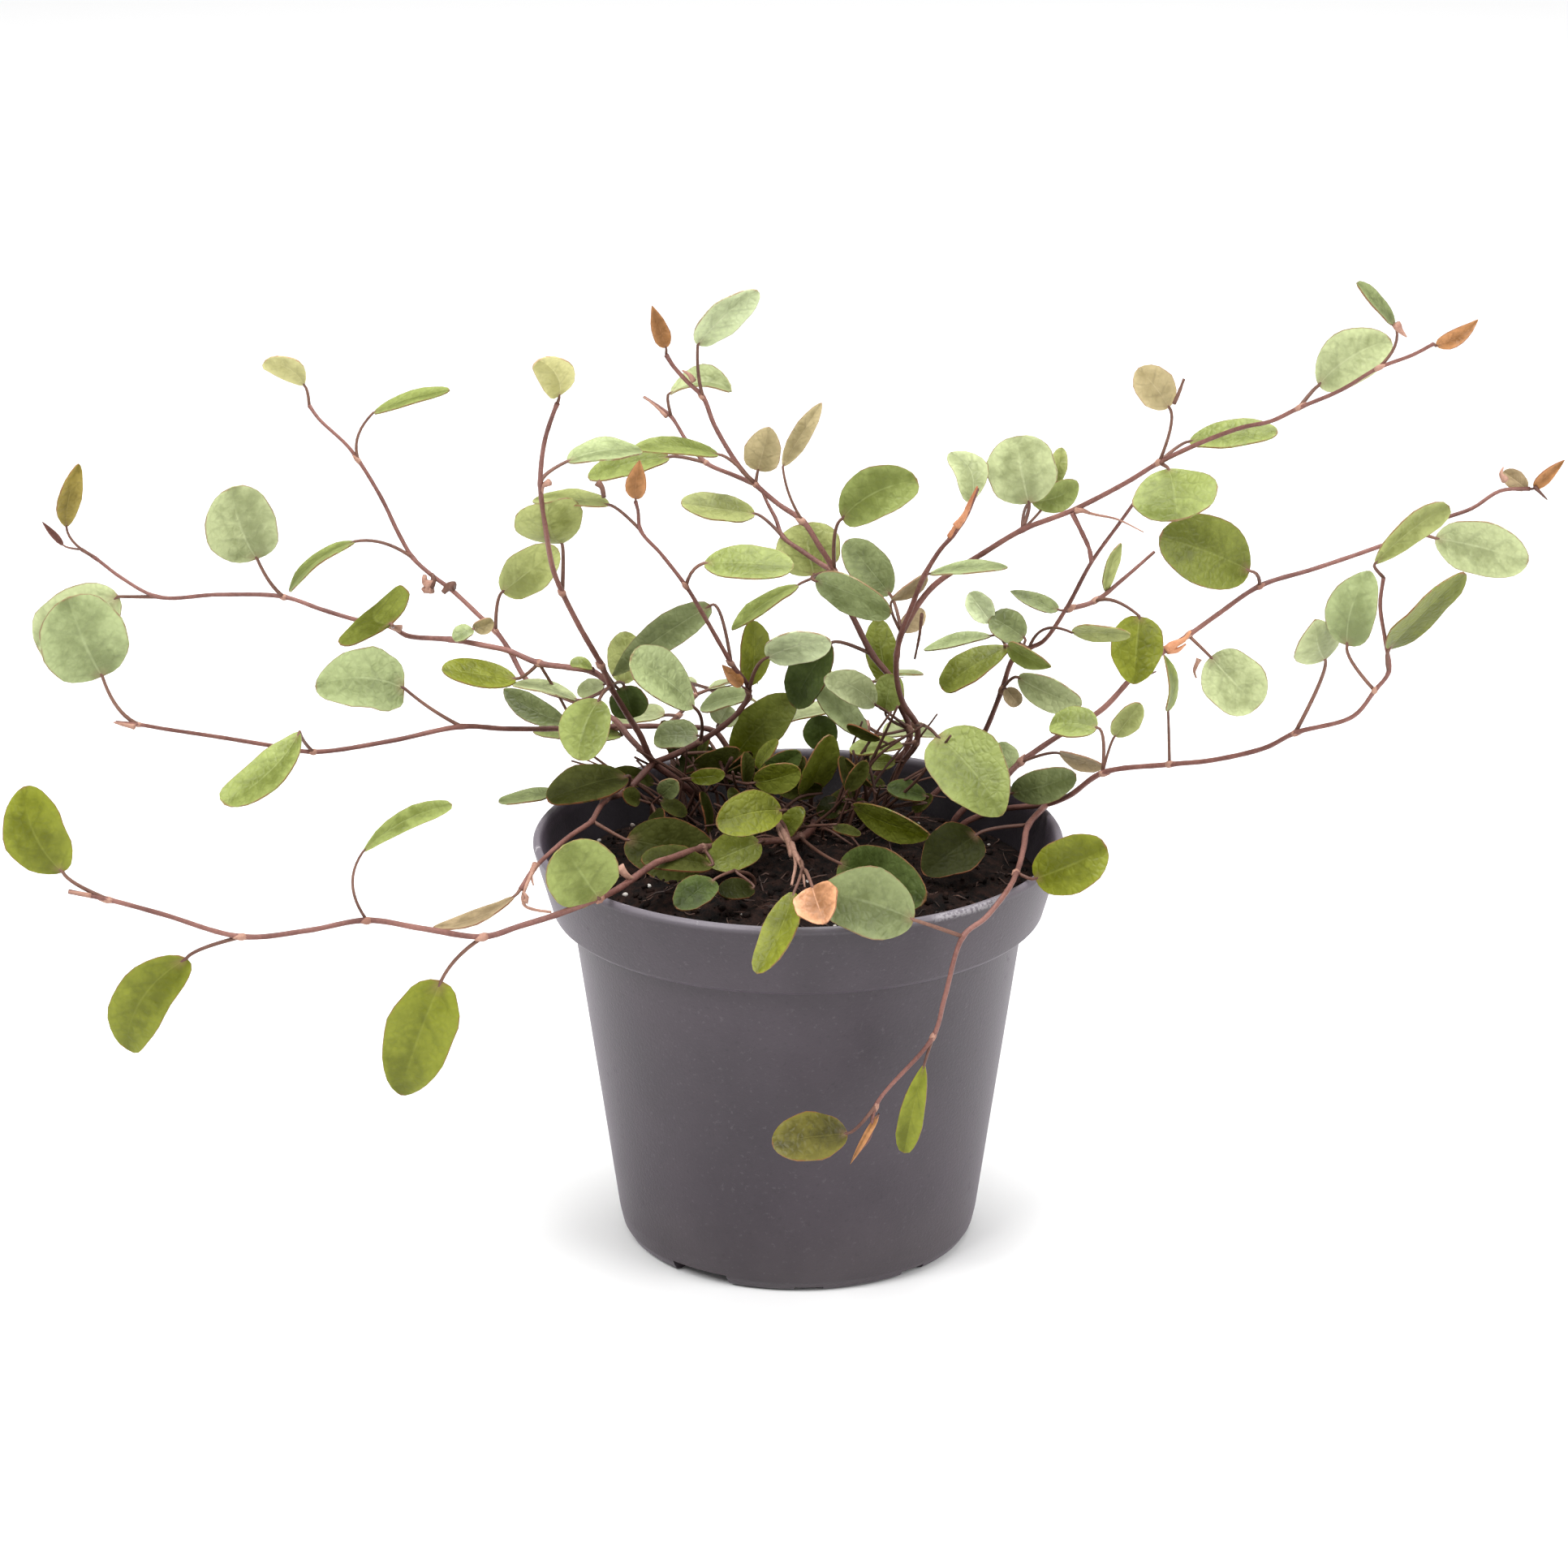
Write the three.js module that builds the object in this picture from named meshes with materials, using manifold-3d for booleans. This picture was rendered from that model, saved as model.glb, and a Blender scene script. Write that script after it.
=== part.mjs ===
import * as THREE from "three";
import { mergeVertices } from "three/addons/utils/BufferGeometryUtils.js";
import Module from "manifold-3d";

// Millimetres, +Z up, the front of the pot faces -Y, the pot's axis is the Z axis.

// The pot
const POT_HIGH = 95.5;
const RIM_OUTER = 60;
const FLOOR_UNDER = 3.8;
const FLOOR_TOP = 5.2;
const FOOT_INNER = 35;
const FOOT_OUTER = 37.5;
const POT_SIDES = 40;
const NOTCH_MIDDLE = 39;
const NOTCH_DEEP = 14;
const NOTCH_BELOW = 2;
const DRAIN_COUNT = 8;
const DRAIN_RING = 29;
const DRAIN_RADIUS = 3;
const DRAIN_MIDDLE_RADIUS = 4;
const DRAIN_SIDES = 12;
const DRAIN_CUT_HIGH = 4;

// Each notch under the foot is [turn in degrees, width, height].
const FOOT_NOTCHES = [
  [-124, 14.5, 3], [-86.5, 6.4, 1.2], [-49, 6.6, 1.7], [-4, 14.5, 3],
  [41, 6.4, 1.2], [86, 14.5, 3], [131, 6.4, 1.2], [176, 14.5, 3],
];

// The soil
const SOIL_GAP = 0.3;
const SOIL_EDGE_HIGH = 83.5;
const SOIL_DOME = 6;
const SOIL_EDGE_RADIUS = 54.9;
const SOIL_TOP_RADII = [51, 44, 34, 23, 11, 0];
const HOLE_GAP = 0.35;
const HOLE_SIDES = 6;
const HOLE_ABOVE = 4;

// Each wave of the soil's top is [height, turns per millimetre in X and Y, start of each].
const BROAD_LUMP = [0.7, 0.19, 0.23, 1.3, 0.4];
const SMALL_LUMP = [0.4, 0.41, -0.37];

// The plant
const FOOT_DEEP = 9;
const FOOT_ABOVE = 1.2;
const STEM_SIDES = 5;
const STEM_TIP_SHARE = 0.55;
const PETIOLE_RADIUS = 0.62;
const PETIOLE_STEPS = 2;
const PETIOLE_BOW = 0.4;
const PETIOLE_JOIN = 0.85;
const PETIOLE_CORNERS = [30, 150, 270];
const BLADE_THICK = 0.8;
const BROAD_BLADE = 10;
const BROAD_RIM = 10;
const NARROW_RIM = 8;
const FOLD_MIDDLE = 0.4;
const FOLD_POWER = 1.3;

// The blade's outline: how blunt its sides are, how much wider it is near its base, and the notch
// beside the petiole of a blade that is wide for its length
const RIM_BLUNT = 0.86;
const RIM_BASE_WIDER = 0.1;
const RIM_NOTCH = 0.14;
const RIM_NOTCH_FROM = 0.55;
const RIM_NOTCH_ANGLE = 0.75;
const RIM_NOTCH_WIDE = 0.4;

// The viewing point that the stem rows are given for
const EYE_X = -3.2;
const EYE_BEFORE = 1131.4;
const EYE_HIGH = 507.1;

// Each point of a row is [x, z, y]: x and z where the line of sight from the viewing point crosses
// the upright plane through the pot's axis, and y, how far behind that plane the point itself lies.
// Each leaf is [stem point, blade base, blade tip, width, roll, fold, arch, sideways bend if any].

const FAN_LEFT = [
  {
    radius: 1.0,
    foot: [-21, 40],
    route: [
      [-27, 108, 36], [-32.5, 112.5, 33], [-35.5, 119, 28], [-39, 125, 23], [-42, 130.5, 18],
      [-44, 135.5, 15], [-48.5, 144, 9], [-52.5, 152.5, 3], [-54.5, 158, -1], [-56, 167.5, -8],
      [-57, 177.5, -14], [-56, 187, -19], [-54, 193.5, -22], [-53, 196, -23],
    ],
    leaves: [
      [13, [-53, 197.5, -23], [-56, 206, -32], 9.5, 0, 0.1, 0.05, -0.05],
      [10, [-51, 183, -12], [-34.5, 185.5, -6], 11, -64, 0.1, 0.08],
      [7, [-52.5, 164.5, -4], [-55.5, 174, -16], 15.5, -8, -0.25, 0.1, 0.07],
      [4, [-44.5, 127.5, 10], [-49.5, 113, 2], 11.5, 0, 0.1, 0.06, -0.08],
      [4, [-49.5, 127.5, 22], [-64, 131, 24], 9, 72, 0.1, 0.08],
      [4, [-39, 130.5, 26], [-37, 123, 26], 9, 10, 0.15, 0.06],
      [5, [-39, 131, 30], [-38.5, 143.5, 34], 8.5, 10, 0.15, 0.06],
      [5, [-43.5, 131, 22], [-49.5, 129, 24], 4.5, 20, 0.15, 0.06],
    ],
  },
  {
    radius: 0.85,
    route: [
      [-42.5, 131.5, 18], [-46, 134, 19], [-51.5, 135, 21], [-58, 136, 24], [-65, 139, 27],
      [-69.5, 140, 29], [-77.5, 141.5, 32], [-87.5, 142.5, 36], [-90.5, 144.5, 37], [-98, 146, 40],
      [-106, 148.5, 43], [-114.5, 151.5, 46], [-129, 152, 51], [-142.5, 151.5, 56], [-150.5, 156, 59],
      [-156, 160.5, 61], [-159, 162.5, 62],
    ],
    leaves: [
      [15, [-162, 167.5, 62], [-158.5, 182, 58], 6, 30, 0.2, 0.06, 0.09],
      [16, [-163, 163.5, 63], [-167.5, 169, 64], 1.5, 0, 0.2, 0],
      [13, [-151.5, 151, 58], [-168.5, 136.5, 64], 19, 10, 0.15, 0.06],
      [11, [-120, 160, 44], [-125, 176.5, 38], 16.5, 0, 0.15, 0.06, 0.06],
      [8, [-87.5, 151.5, 36], [-103, 140, 30], 9.5, 56, 0.1, 0.04, 0.11],
      [6, [-72.5, 144, 30], [-77, 141.5, 28], 4, 30, 0.2, 0.2],
      [6, [-72.5, 144, 32], [-68, 146, 32], 4, 30, 0.2, 0.2],
      [3, [-63, 132.5, 26], [-79.5, 135, 22], 10, 52, 0.1, -0.02],
      [3, [-52, 122, 30], [-66, 130, 34], 6.5, 20, 0.15, 0.06, 0.09],
      [1, [-46, 135, 17], [-51, 136, 16], 4, 50, 0.1, 0.15],
    ],
  },
  {
    radius: 0.85,
    route: [
      [-32.5, 112.5, 33], [-38, 118.5, 36], [-41, 122.5, 40], [-51.5, 127.5, 48], [-59, 130.5, 54],
      [-61.5, 133, 56], [-64.5, 139, 60], [-67.5, 143.5, 62], [-70.5, 146.5, 64], [-77, 153, 68],
      [-82, 157, 70], [-85.5, 160.5, 72], [-88.5, 166, 74], [-92, 174, 77], [-97, 183, 80],
      [-99.5, 186.5, 81], [-105.5, 192.5, 84], [-107.5, 195.5, 86],
    ],
    leaves: [
      [17, [-108.5, 200, 87], [-117, 205.5, 84], 7.5, -40, 0.1, 0.06, -0.22],
      [14, [-93.5, 194, 80], [-76.5, 199, 76], 6, -60, 0.1, 0.05],
      [11, [-98.5, 164.5, 74], [-113.5, 153, 70], 10.5, 75, 0.1, 0.12, 0.12],
      [7, [-66, 152.5, 62], [-53.5, 162.5, 58], 10.5, 0, 0.15, 0.06],
    ],
  },
  {
    radius: 0.8,
    route: [
      [-32.5, 112.5, 33], [-27.5, 114.5, 29], [-22, 117.5, 25], [-17, 121, 22], [-13, 125, 19],
      [-11, 129.5, 17], [-15, 136, 12], [-21, 147, 4], [-25, 154, -1], [-30.5, 161.5, -5],
      [-35, 167, -9], [-35.5, 171.5, -10], [-36, 173.5, -11],
    ],
    leaves: [
      [12, [-36, 174, -11], [-35, 183, -12], 4.5, 0, 0.25, 0.06, 0.03],
      [10, [-42, 173, -6], [-58.5, 174, 2], 9.5, 68, 0.1, 0.08, 0.07],
      [8, [-21, 159.5, -3], [-1, 158.5, -6], 11, -46, 0.1, 0.06, -0.03],
      [6, [-19.5, 149.5, 16], [-41.5, 133, 22], 8, 0, 0.15, 0.06, -0.03],
      [5, [-12.5, 130.5, 14], [-17, 135.5, 13], 3, 0, 0.3, 0.06],
      [5, [-7, 137, 14], [7, 141.5, 8], 11, 45, 0.15, 0.06, 0.11],
      [5, [-10.5, 130.5, 22], [-10, 146, 24], 9, 40, 0.15, 0.06],
      [2, [-23, 125.5, 12], [-37.5, 137.5, 4], 12, 32, 0.15, 0.06, -0.02],
      [4, [-11, 128.5, 26], [-22, 125.5, 30], 8, 55, 0.15, 0.06],
      [3, [-18, 121.5, 28], [-15.5, 126, 30], 7, 10, 0.15, 0.06],
      [1, [-18, 114.5, 40], [-28, 111, 44], 7, 40, 0.15, 0.06],
    ],
  },
  {
    radius: 0.9,
    route: [
      [-32.5, 112.5, 33], [-39, 105.5, 24], [-43.5, 103.5, 12], [-46, 99.5, 3], [-46.5, 98.5, 0],
      [-52, 94.5, -12], [-58.5, 88.5, -26], [-61, 85.5, -32], [-63, 82, -36],
    ],
    leaves: [
      [8, [-64.5, 80.5, -38], [-83, 73, -40], 7.5, 68, 0.1, -0.04, 0.11],
      [4, [-39.5, 94.5, -6], [-20, 97.5, -10], 13, 48, 0.15, 0.06],
      [1, [-38.5, 109.5, 18], [-56.5, 103.5, 8], 12, 45, 0.15, 0.06],
      [2, [-54.5, 106, 16], [-67.5, 103, 10], 6, 60, 0.1, 0],
    ],
  },
];

const LOW_LEFT = [
  {
    radius: 0.9,
    foot: [-10, 46],
    route: [
      [-16.5, 117, 48], [-19, 120, 49], [-28, 121, 49], [-40.5, 121, 46], [-53.5, 120.5, 38],
      [-66, 120.5, 29], [-75.5, 121, 22], [-92, 117.5, 10], [-109, 115, -2], [-118.5, 116.5, -8],
      [-130, 118.5, -16], [-142.5, 120.5, -25], [-148, 121.5, -29], [-153, 122, -32],
    ],
    leaves: [
      [12, [-156, 133.5, -32], [-164, 151, -38], 20.5, 0, 0.15, 0.06],
      [8, [-112, 120, -10], [-129.5, 102.5, -22], 11, 42, 0.15, 0.06, 0.15],
      [6, [-87.5, 129.5, 20], [-107, 133.5, 14], 15, 0, 0.15, 0.06, -0.04],
      [3, [-39.5, 119, 46], [-59.5, 120, 42], 8, 45, 0.1, 0.06],
    ],
  },
];

const FAN_TOP = [
  {
    radius: 1.0,
    foot: [15, 42],
    route: [
      [18.5, 110.5, 40], [24, 115, 37], [25, 120.5, 35], [22.5, 127, 33], [21, 132, 31],
      [16.5, 138, 30], [13, 145, 29], [10, 151.5, 29], [8, 157.5, 29], [4.5, 163.5, 30],
      [1, 169, 32], [-4.5, 173, 34], [-9.5, 177.5, 36], [-13, 181.5, 38], [-18.5, 191, 41],
      [-21, 197.5, 43], [-24, 200.5, 44], [-27.5, 204.5, 45], [-29, 207, 46],
    ],
    leaves: [
      [18, [-29, 208.5, 46], [-32, 218, 44], 4, 0, 0.25, 0.06],
      [15, [-22, 209, 42], [-9, 221.5, 38], 10, 42, 0.15, 0.06, 0.1],
      [12, [-8.5, 180.5, 36], [-6, 190.5, 34], 8, 0, 0.15, 0.06],
      [12, [-17.5, 184.5, 34], [-36.5, 186, 30], 8.5, 64, 0.1, 0.06],
      [10, [-3, 181.5, 30], [5, 196, 26], 5, 55, 0.15, 0.06, 0.08],
      [8, [3.5, 156.5, 36], [1, 168.5, 40], 15, 0, 0.15, 0.06],
      [8, [3.5, 155, 16], [20.5, 147.5, 8], 12.5, 50, 0.15, 0.06, 0.12],
      [8, [0, 154.5, 26], [-15, 144, 18], 8, 62, 0.1, 0.08, 0.07],
      [8, [9.5, 169.5, 26], [25, 179.5, 20], 12, 0, 0.15, 0.06, 0.17],
      [5, [7, 140.5, 28], [-1.5, 126, 32], 11, 30, 0.15, 0.06],
      [4, [20.5, 130, 38], [17.5, 146.5, 44], 7.5, 0, 0.15, 0.06, 0.02],
      [2, [17.5, 126, 26], [6, 132.5, 20], 7.5, 0, 0.15, 0.06, -0.08],
      [2, [15.5, 119.5, 32], [4, 130, 28], 7, 25, 0.15, 0.06, 0.03],
      [2, [19.5, 124.5, 30], [21, 133.5, 30], 7, 0, 0.15, 0.06],
    ],
  },
  {
    radius: 0.7,
    route: [
      [-9.5, 177.5, 36], [-14, 179.5, 42], [-20.5, 182.5, 48], [-23.5, 186, 51], [-25, 188, 53],
      [-28, 193, 57], [-31, 195.5, 60], [-34, 197.5, 62],
    ],
    leaves: [
      [2, [-28.5, 184, 50], [-46.5, 179, 48], 11, 58, 0.1, 0.06],
      [5, [-28.5, 199, 56], [-15, 199.5, 52], 6.5, -42, 0.8, 0, 0.21],
    ],
  },
  {
    radius: 0.75,
    route: [
      [8, 157.5, 29], [6, 158.5, 31], [1, 162, 34], [-3.5, 165.5, 38], [-5, 169.5, 42],
      [-7, 173.5, 45], [-8, 176, 47],
    ],
    leaves: [
      [3, [-9.5, 171, 42], [-26, 173.5, 40], 10, 52, 0.15, 0.06, 0.09],
    ],
  },
];

const CENTRE = [
  {
    radius: 0.95,
    foot: [20, 36],
    route: [
      [22.5, 111, 32], [26.5, 117, 28], [26.5, 121.5, 25], [23.5, 126.5, 21], [22, 132.5, 18],
      [22, 138, 15], [23, 143, 12], [25.5, 150, 7], [28, 156.5, 2], [31.5, 162.5, -3],
      [34, 165.5, -6], [37, 170, -9], [39.5, 176.5, -12],
    ],
    leaves: [
      [10, [37, 173, -2], [35, 185, 4], 9, 0, 0.15, 0.06, -0.12],
      [8, [29, 157, 2], [46.5, 158.5, 0], 7, -66, 0.1, 0.06, -0.04],
      [2, [31, 119, 18], [46, 100, 4], 16.5, 0, 0.15, 0.06, 0.05],
      [1, [23.5, 117, 24], [11.5, 115, 20], 7, 55, 0.1, 0.06],
      [6, [20.5, 152, 18], [10.5, 164.5, 20], 9.5, 15, 0.15, 0.06],
      [6, [21, 150.5, 10], [28.5, 156.5, 8], 6, 60, 0.15, 0.06],
      [5, [23, 143.5, 22], [28, 148.5, 24], 5, 20, 0.15, 0.06],
    ],
  },
  {
    radius: 0.8,
    route: [
      [23, 143, 12], [26.5, 149.5, 11], [30, 154, 10], [34.5, 157.5, 8], [40, 161, 5],
      [49.5, 167, 0], [60.5, 171.5, -7], [72.5, 178, -14], [79.5, 182.5, -19], [88.5, 187, -24],
      [97.5, 190.5, -29], [104, 192, -33], [110, 195, -36], [119, 199, -40], [127, 204, -44],
      [134.5, 207, -48], [139, 209.5, -50],
    ],
    leaves: [
      [5, [51, 173, 2], [48, 188.5, 4], 15.5, 0, 0.15, 0.06, 0.02],
      [5, [51.5, 173.5, 8], [62, 177.5, 12], 7, 20, 0.15, 0.06, -0.07],
      [5, [56.5, 177, 14], [58, 186, 16], 4, 0, 0.15, 0.06],
      [8, [81.5, 181.5, -20], [83.5, 169.5, -32], 18.5, 0, 0.15, 0.06, 0.04],
      [8, [81.5, 195, -22], [74.5, 204, -22], 8.5, 0, 0.15, 0.06, -0.03],
      [8, [86, 187.5, -14], [105.5, 189.5, -18], 9.5, -52, 0.1, 0.06, -0.02],
      [12, [114, 200, -32], [129.5, 210.5, -36], 11.5, 0, 0.15, 0.06, 0.08],
      [14, [130.5, 214, -46], [122, 223.5, -48], 5.5, 60, 0.15, 0.06, 0.08],
      [16, [139.5, 209, -50], [148.5, 215, -52], 3.5, 0, 0.3, 0.06, -0.07],
    ],
  },
];

const RIGHT_FAN = [
  {
    radius: 0.85,
    foot: [28, 38.5],
    route: [
      [37, 111.5, 40], [41.5, 119, 38], [45.5, 129.5, 36], [48, 137, 35], [51.5, 139.5, 33],
      [54.5, 141, 32], [59.5, 148.5, 29], [65, 159.5, 26], [71, 168.5, 23], [75, 174.5, 21],
    ],
    leaves: [
      [4, [61, 143, 22], [74, 142.5, 16], 7, 58, 0.1, 0.06, 0.12],
      [3, [43, 145.5, 38], [38, 152.5, 40], 6, 0, 0.15, 0.06],
      [3, [50.5, 142, 36], [43, 147, 38], 8, 20, 0.15, 0.06],
      [3, [47, 140, 30], [32, 130, 26], 10, 45, 0.15, 0.06],
      [3, [46.5, 140, 28], [56.5, 135, 24], 7, 50, 0.15, 0.06],
      [2, [49, 132.5, 32], [63.5, 126, 28], 9.5, 40, 0.15, 0.06],
      [2, [46.5, 130, 34], [49.5, 126, 34], 4, 0, 0.15, 0.06],
      [4, [43, 142.5, 42], [28, 139, 46], 5, 55, 0.1, 0.06],
    ],
  },
  {
    radius: 0.75,
    route: [
      [59.5, 148.5, 29], [66, 150.5, 32], [72, 155.5, 35], [79, 162, 38],
    ],
    leaves: [
      [1, [68.5, 152.5, 34], [71.5, 164, 34], 4, 45, 0.15, 0.06, 0.12],
      [0, [58, 148.5, 32], [47, 153, 36], 4, 20, 0.15, 0.06, 0.02],
      [1, [76, 147, 26], [75, 131, 20], 12, 0, 0.15, 0.06],
    ],
  },
];

const RIGHT_FAR = [
  {
    radius: 0.9,
    foot: [36, 32],
    route: [
      [47, 109.5, 32], [50, 112.5, 33], [58, 118.5, 34], [68, 125, 35], [75.5, 133.5, 37],
      [82, 139, 39], [87, 142.5, 41], [93.5, 147.5, 43], [102.5, 154, 46], [114.5, 158, 50],
      [127, 162.5, 54], [137, 166.5, 57], [142.5, 169.5, 59], [149, 172, 61], [155, 176, 63],
      [161.5, 176.5, 65],
    ],
    leaves: [
      [6, [92, 137.5, 38], [103, 125.5, 32], 14, 0, 0.15, 0.06],
      [8, [100.5, 157.5, 42], [80, 165.5, 34], 16.5, 10, 0.15, 0.06, -0.02],
      [11, [141, 165, 56], [162, 159.5, 50], 13.5, 22, 0.15, 0.06, 0.05],
      [15, [161, 176.5, 65], [155.5, 180.5, 66], 4.5, 0, 0.15, 0.06],
      [15, [162.5, 176.5, 65], [169, 183, 64], 3, 20, 0.3, 0.06, 0.04],
      [1, [58.5, 114.5, 28], [68.5, 111.5, 24], 7, 62, 0.15, 0.06],
      [0, [48, 105, 14], [62.5, 109.5, 8], 8.5, 20, 0.15, 0.06],
      [1, [49, 111.5, 36], [44, 116.5, 38], 6, 20, 0.15, 0.06],
    ],
  },
];

const RIGHT_LOW = [
  {
    radius: 1.05,
    foot: [37, 27],
    route: [
      [45, 101, 22], [56, 102.5, 15], [61, 104.5, 10], [68.5, 110, 2], [83.5, 112, -12],
      [93, 113, -21], [105, 116, -31], [111.5, 119.5, -37], [124.5, 123.5, -47], [129, 129.5, -50],
      [132, 134, -52], [131, 141, -53], [129.5, 149.5, -54], [130, 156, -55],
    ],
    leaves: [
      [13, [128, 159, -55], [144, 172.5, -52], 7.5, 40, 0.1, 0.06, 0.11],
      [10, [132, 139, -54], [148, 157, -60], 12, 62, 0.1, 0.06, 0.13],
      [9, [122.5, 140, -46], [127, 157.5, -44], 11, 10, 0.15, 0.06, 0.1],
      [7, [117.5, 137, -40], [115, 146.5, -48], 11, 20, -0.2, 0.06, 0.08],
      [4, [83, 124.5, -12], [82, 138, -10], 6, 68, 0.1, 0.12],
      [3, [71, 118.5, 0], [76.5, 126.5, -4], 6, 20, 0.15, 0.06],
      [3, [67, 121, 6], [56.5, 122, 10], 10, 45, 0.15, 0.06],
    ],
  },
  {
    radius: 1.05,
    route: [
      [56, 102.5, 15], [52, 97.5, 3], [51, 92, -12], [49.5, 86, -29], [47, 81, -42],
      [42.5, 75, -49], [37.5, 70.5, -54], [33.5, 55.5, -57], [31, 46, -58], [18, 29, -58],
      [16.5, 21, -58], [14, 17.5, -58],
    ],
    leaves: [
      [3, [53.5, 84.5, -32], [69.5, 92, -38], 12.5, 0, 0.15, 0.06, -0.02],
      [1, [40.5, 95.5, -4], [28.5, 86, -14], 12.5, 15, 0.15, 0.06],
      [6, [26.5, 74.5, -58], [5, 81, -62], 15, 0, 0.15, 0.06, -0.05],
      [8, [30, 38.5, -58], [24.5, 17, -57], 9, 48, 0.15, 0.06],
      [9, [11.5, 22, -60], [-6, 19.5, -62], 11, 15, 0.15, 0.06],
      [11, [14, 17.5, -58], [12, 14, -58], 2, 0, 0.15, 0.06],
    ],
  },
];

const FRONT_LONG = [
  {
    radius: 1.05,
    foot: [4, 26],
    route: [
      [3, 96.5, 16], [0.5, 94.5, 9], [-8, 93.5, 0], [-21.5, 92, -12], [-29, 89.5, -22],
      [-32, 88.5, -26], [-41, 82, -40], [-45, 80, -46], [-54.5, 76, -53], [-63.5, 73, -58],
      [-71.5, 70.5, -62], [-85.5, 72.5, -66], [-98, 74.5, -69], [-111.5, 72, -73], [-126.5, 70.5, -77],
      [-144.5, 76, -82], [-156.5, 79.5, -86], [-165.5, 81.5, -88],
    ],
    leaves: [
      [16, [-166.5, 86, -88], [-174.5, 106.5, -88], 13, 0, 0.15, 0.06, 0.1],
      [14, [-139.5, 65.5, -78], [-154.5, 42, -74], 11, 0, 0.15, 0.06, -0.12],
      [12, [-98.5, 91, -70], [-78, 102.5, -66], 7, -66, 0.1, 0.1],
      [10, [-81.5, 59.5, -62], [-91.5, 31, -60], 15, 0, 0.15, 0.06, -0.02],
      [7, [-41.5, 85, -48], [-55, 83.5, -54], 13, 0, 0.15, 0.06, -0.07],
      [2, [-8.5, 93.5, -6], [-20.5, 88, -14], 9.5, 20, 0.15, 0.06],
      [3, [-19.5, 88, -22], [-35.5, 89, -28], 9, 50, 0.15, 0.06],
      [1, [9, 88.5, -22], [28.5, 79.5, -44], 14, 0, 0.15, 0.06],
    ],
  },
];

const SPRIG_FRONT = [
  {
    radius: 0.9,
    foot: [-8, 16],
    route: [
      [-6, 99.5, 5], [-3.5, 98, -4], [-1.5, 93, -18], [0.5, 89, -28], [1.5, 86, -36],
    ],
    leaves: [
      [4, [3, 83, -64], [6, 74, -72], 10, 10, 0.25, 0.06],
      [3, [-1, 81.5, -58], [-9.5, 61.5, -70], 8, 30, 0.15, 0.06, 0.07],
      [0, [-3.5, 101, -8], [-18.5, 97.5, -18], 10, 0, 0.15, 0.06, -0.06],
    ],
  },
];

const SPRIG_LOW_FRONT = [
  {
    radius: 0.8,
    foot: [-10, -16],
    route: [
      [-14.5, 86.5, -24],
    ],
    leaves: [
      [0, [-19, 84.5, -32], [-27.5, 77.5, -42], 8, 25, 0.15, 0.06],
      [0, [-10, 82.5, -26], [-18, 81, -32], 6, 35, 0.15, 0.06],
    ],
  },
];

const SPRIG_CENTRE_RIGHT = [
  {
    radius: 0.8,
    foot: [24, 22],
    route: [
      [18.5, 101.5, 20], [14.5, 103, 18],
    ],
    leaves: [
      [1, [12, 102, 16], [30, 95, 2], 9, 45, 0.15, 0.06],
      [0, [29, 104.5, 18], [20, 106.5, 16], 6, 40, 0.15, 0.06],
      [1, [9.5, 100.5, 20], [4.5, 102.5, 22], 6, 20, 0.15, 0.06],
    ],
  },
];

const SPRIG_CENTRE_LEFT = [
  {
    radius: 0.8,
    foot: [-14, 32],
    route: [
      [-16.5, 109.5, 27], [-15, 113.5, 24],
    ],
    leaves: [
      [1, [-14.5, 113.5, 36], [-1, 128, 34], 10.5, 0, 0.15, 0.06, 0.04],
      [0, [-8.5, 109, 22], [0.5, 115, 18], 6, 20, 0.15, 0.06],
      [0, [-10, 107.5, 14], [0.5, 110.5, 12], 8, 30, 0.15, 0.06],
      [0, [-22.5, 119, 40], [-32.5, 118.5, 42], 9, 40, 0.15, 0.06],
    ],
  },
];

const SPRIG_CENTRE = [
  {
    radius: 0.8,
    foot: [3, 38],
    route: [
      [3.5, 109.5, 33], [5, 114.5, 30],
    ],
    leaves: [
      [0, [1.5, 104, 24], [7, 119, 18], 9, 42, 0.15, 0.06],
      [1, [5.5, 115.5, 30], [4.5, 123.5, 30], 8, 0, 0.15, 0.06],
    ],
  },
];

const SPRIG_LEFT = [
  {
    radius: 0.7,
    foot: [-34, 22],
    route: [
      [-33, 102.5, 18],
    ],
    leaves: [
      [0, [-31, 104.5, 14], [-27.5, 108, 10], 5, 10, 0.15, 0.06],
      [0, [-35.5, 103.5, 16], [-39.5, 105, 12], 4.5, 20, 0.15, 0.06],
      [0, [-32.5, 101, 10], [-31, 97.5, 4], 4.5, 20, 0.15, 0.06],
    ],
  },
];

const BACK_LEFT = [
  {
    radius: 0.85,
    foot: [-26, 39],
    route: [
      [-29.5, 120, 53], [-27, 123.5, 62], [-23, 128.5, 70], [-24, 131, 78], [-20, 130, 85],
    ],
    leaves: [
      [4, [-19, 129.5, 86], [-9, 126.5, 90], 9, -80, 0.15, 0.06],
      [4, [-23, 131, 86], [-33, 129, 92], 9, 80, 0.15, 0.06],
      [3, [-26, 133, 76], [-37, 133, 74], 11, 85, 0.15, 0.06],
      [2, [-20, 130, 70], [-9, 131.5, 72], 11, -85, 0.15, 0.06],
      [1, [-30, 124, 64], [-42, 121, 66], 12, 70, 0.15, 0.06],
    ],
  },
];

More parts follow.
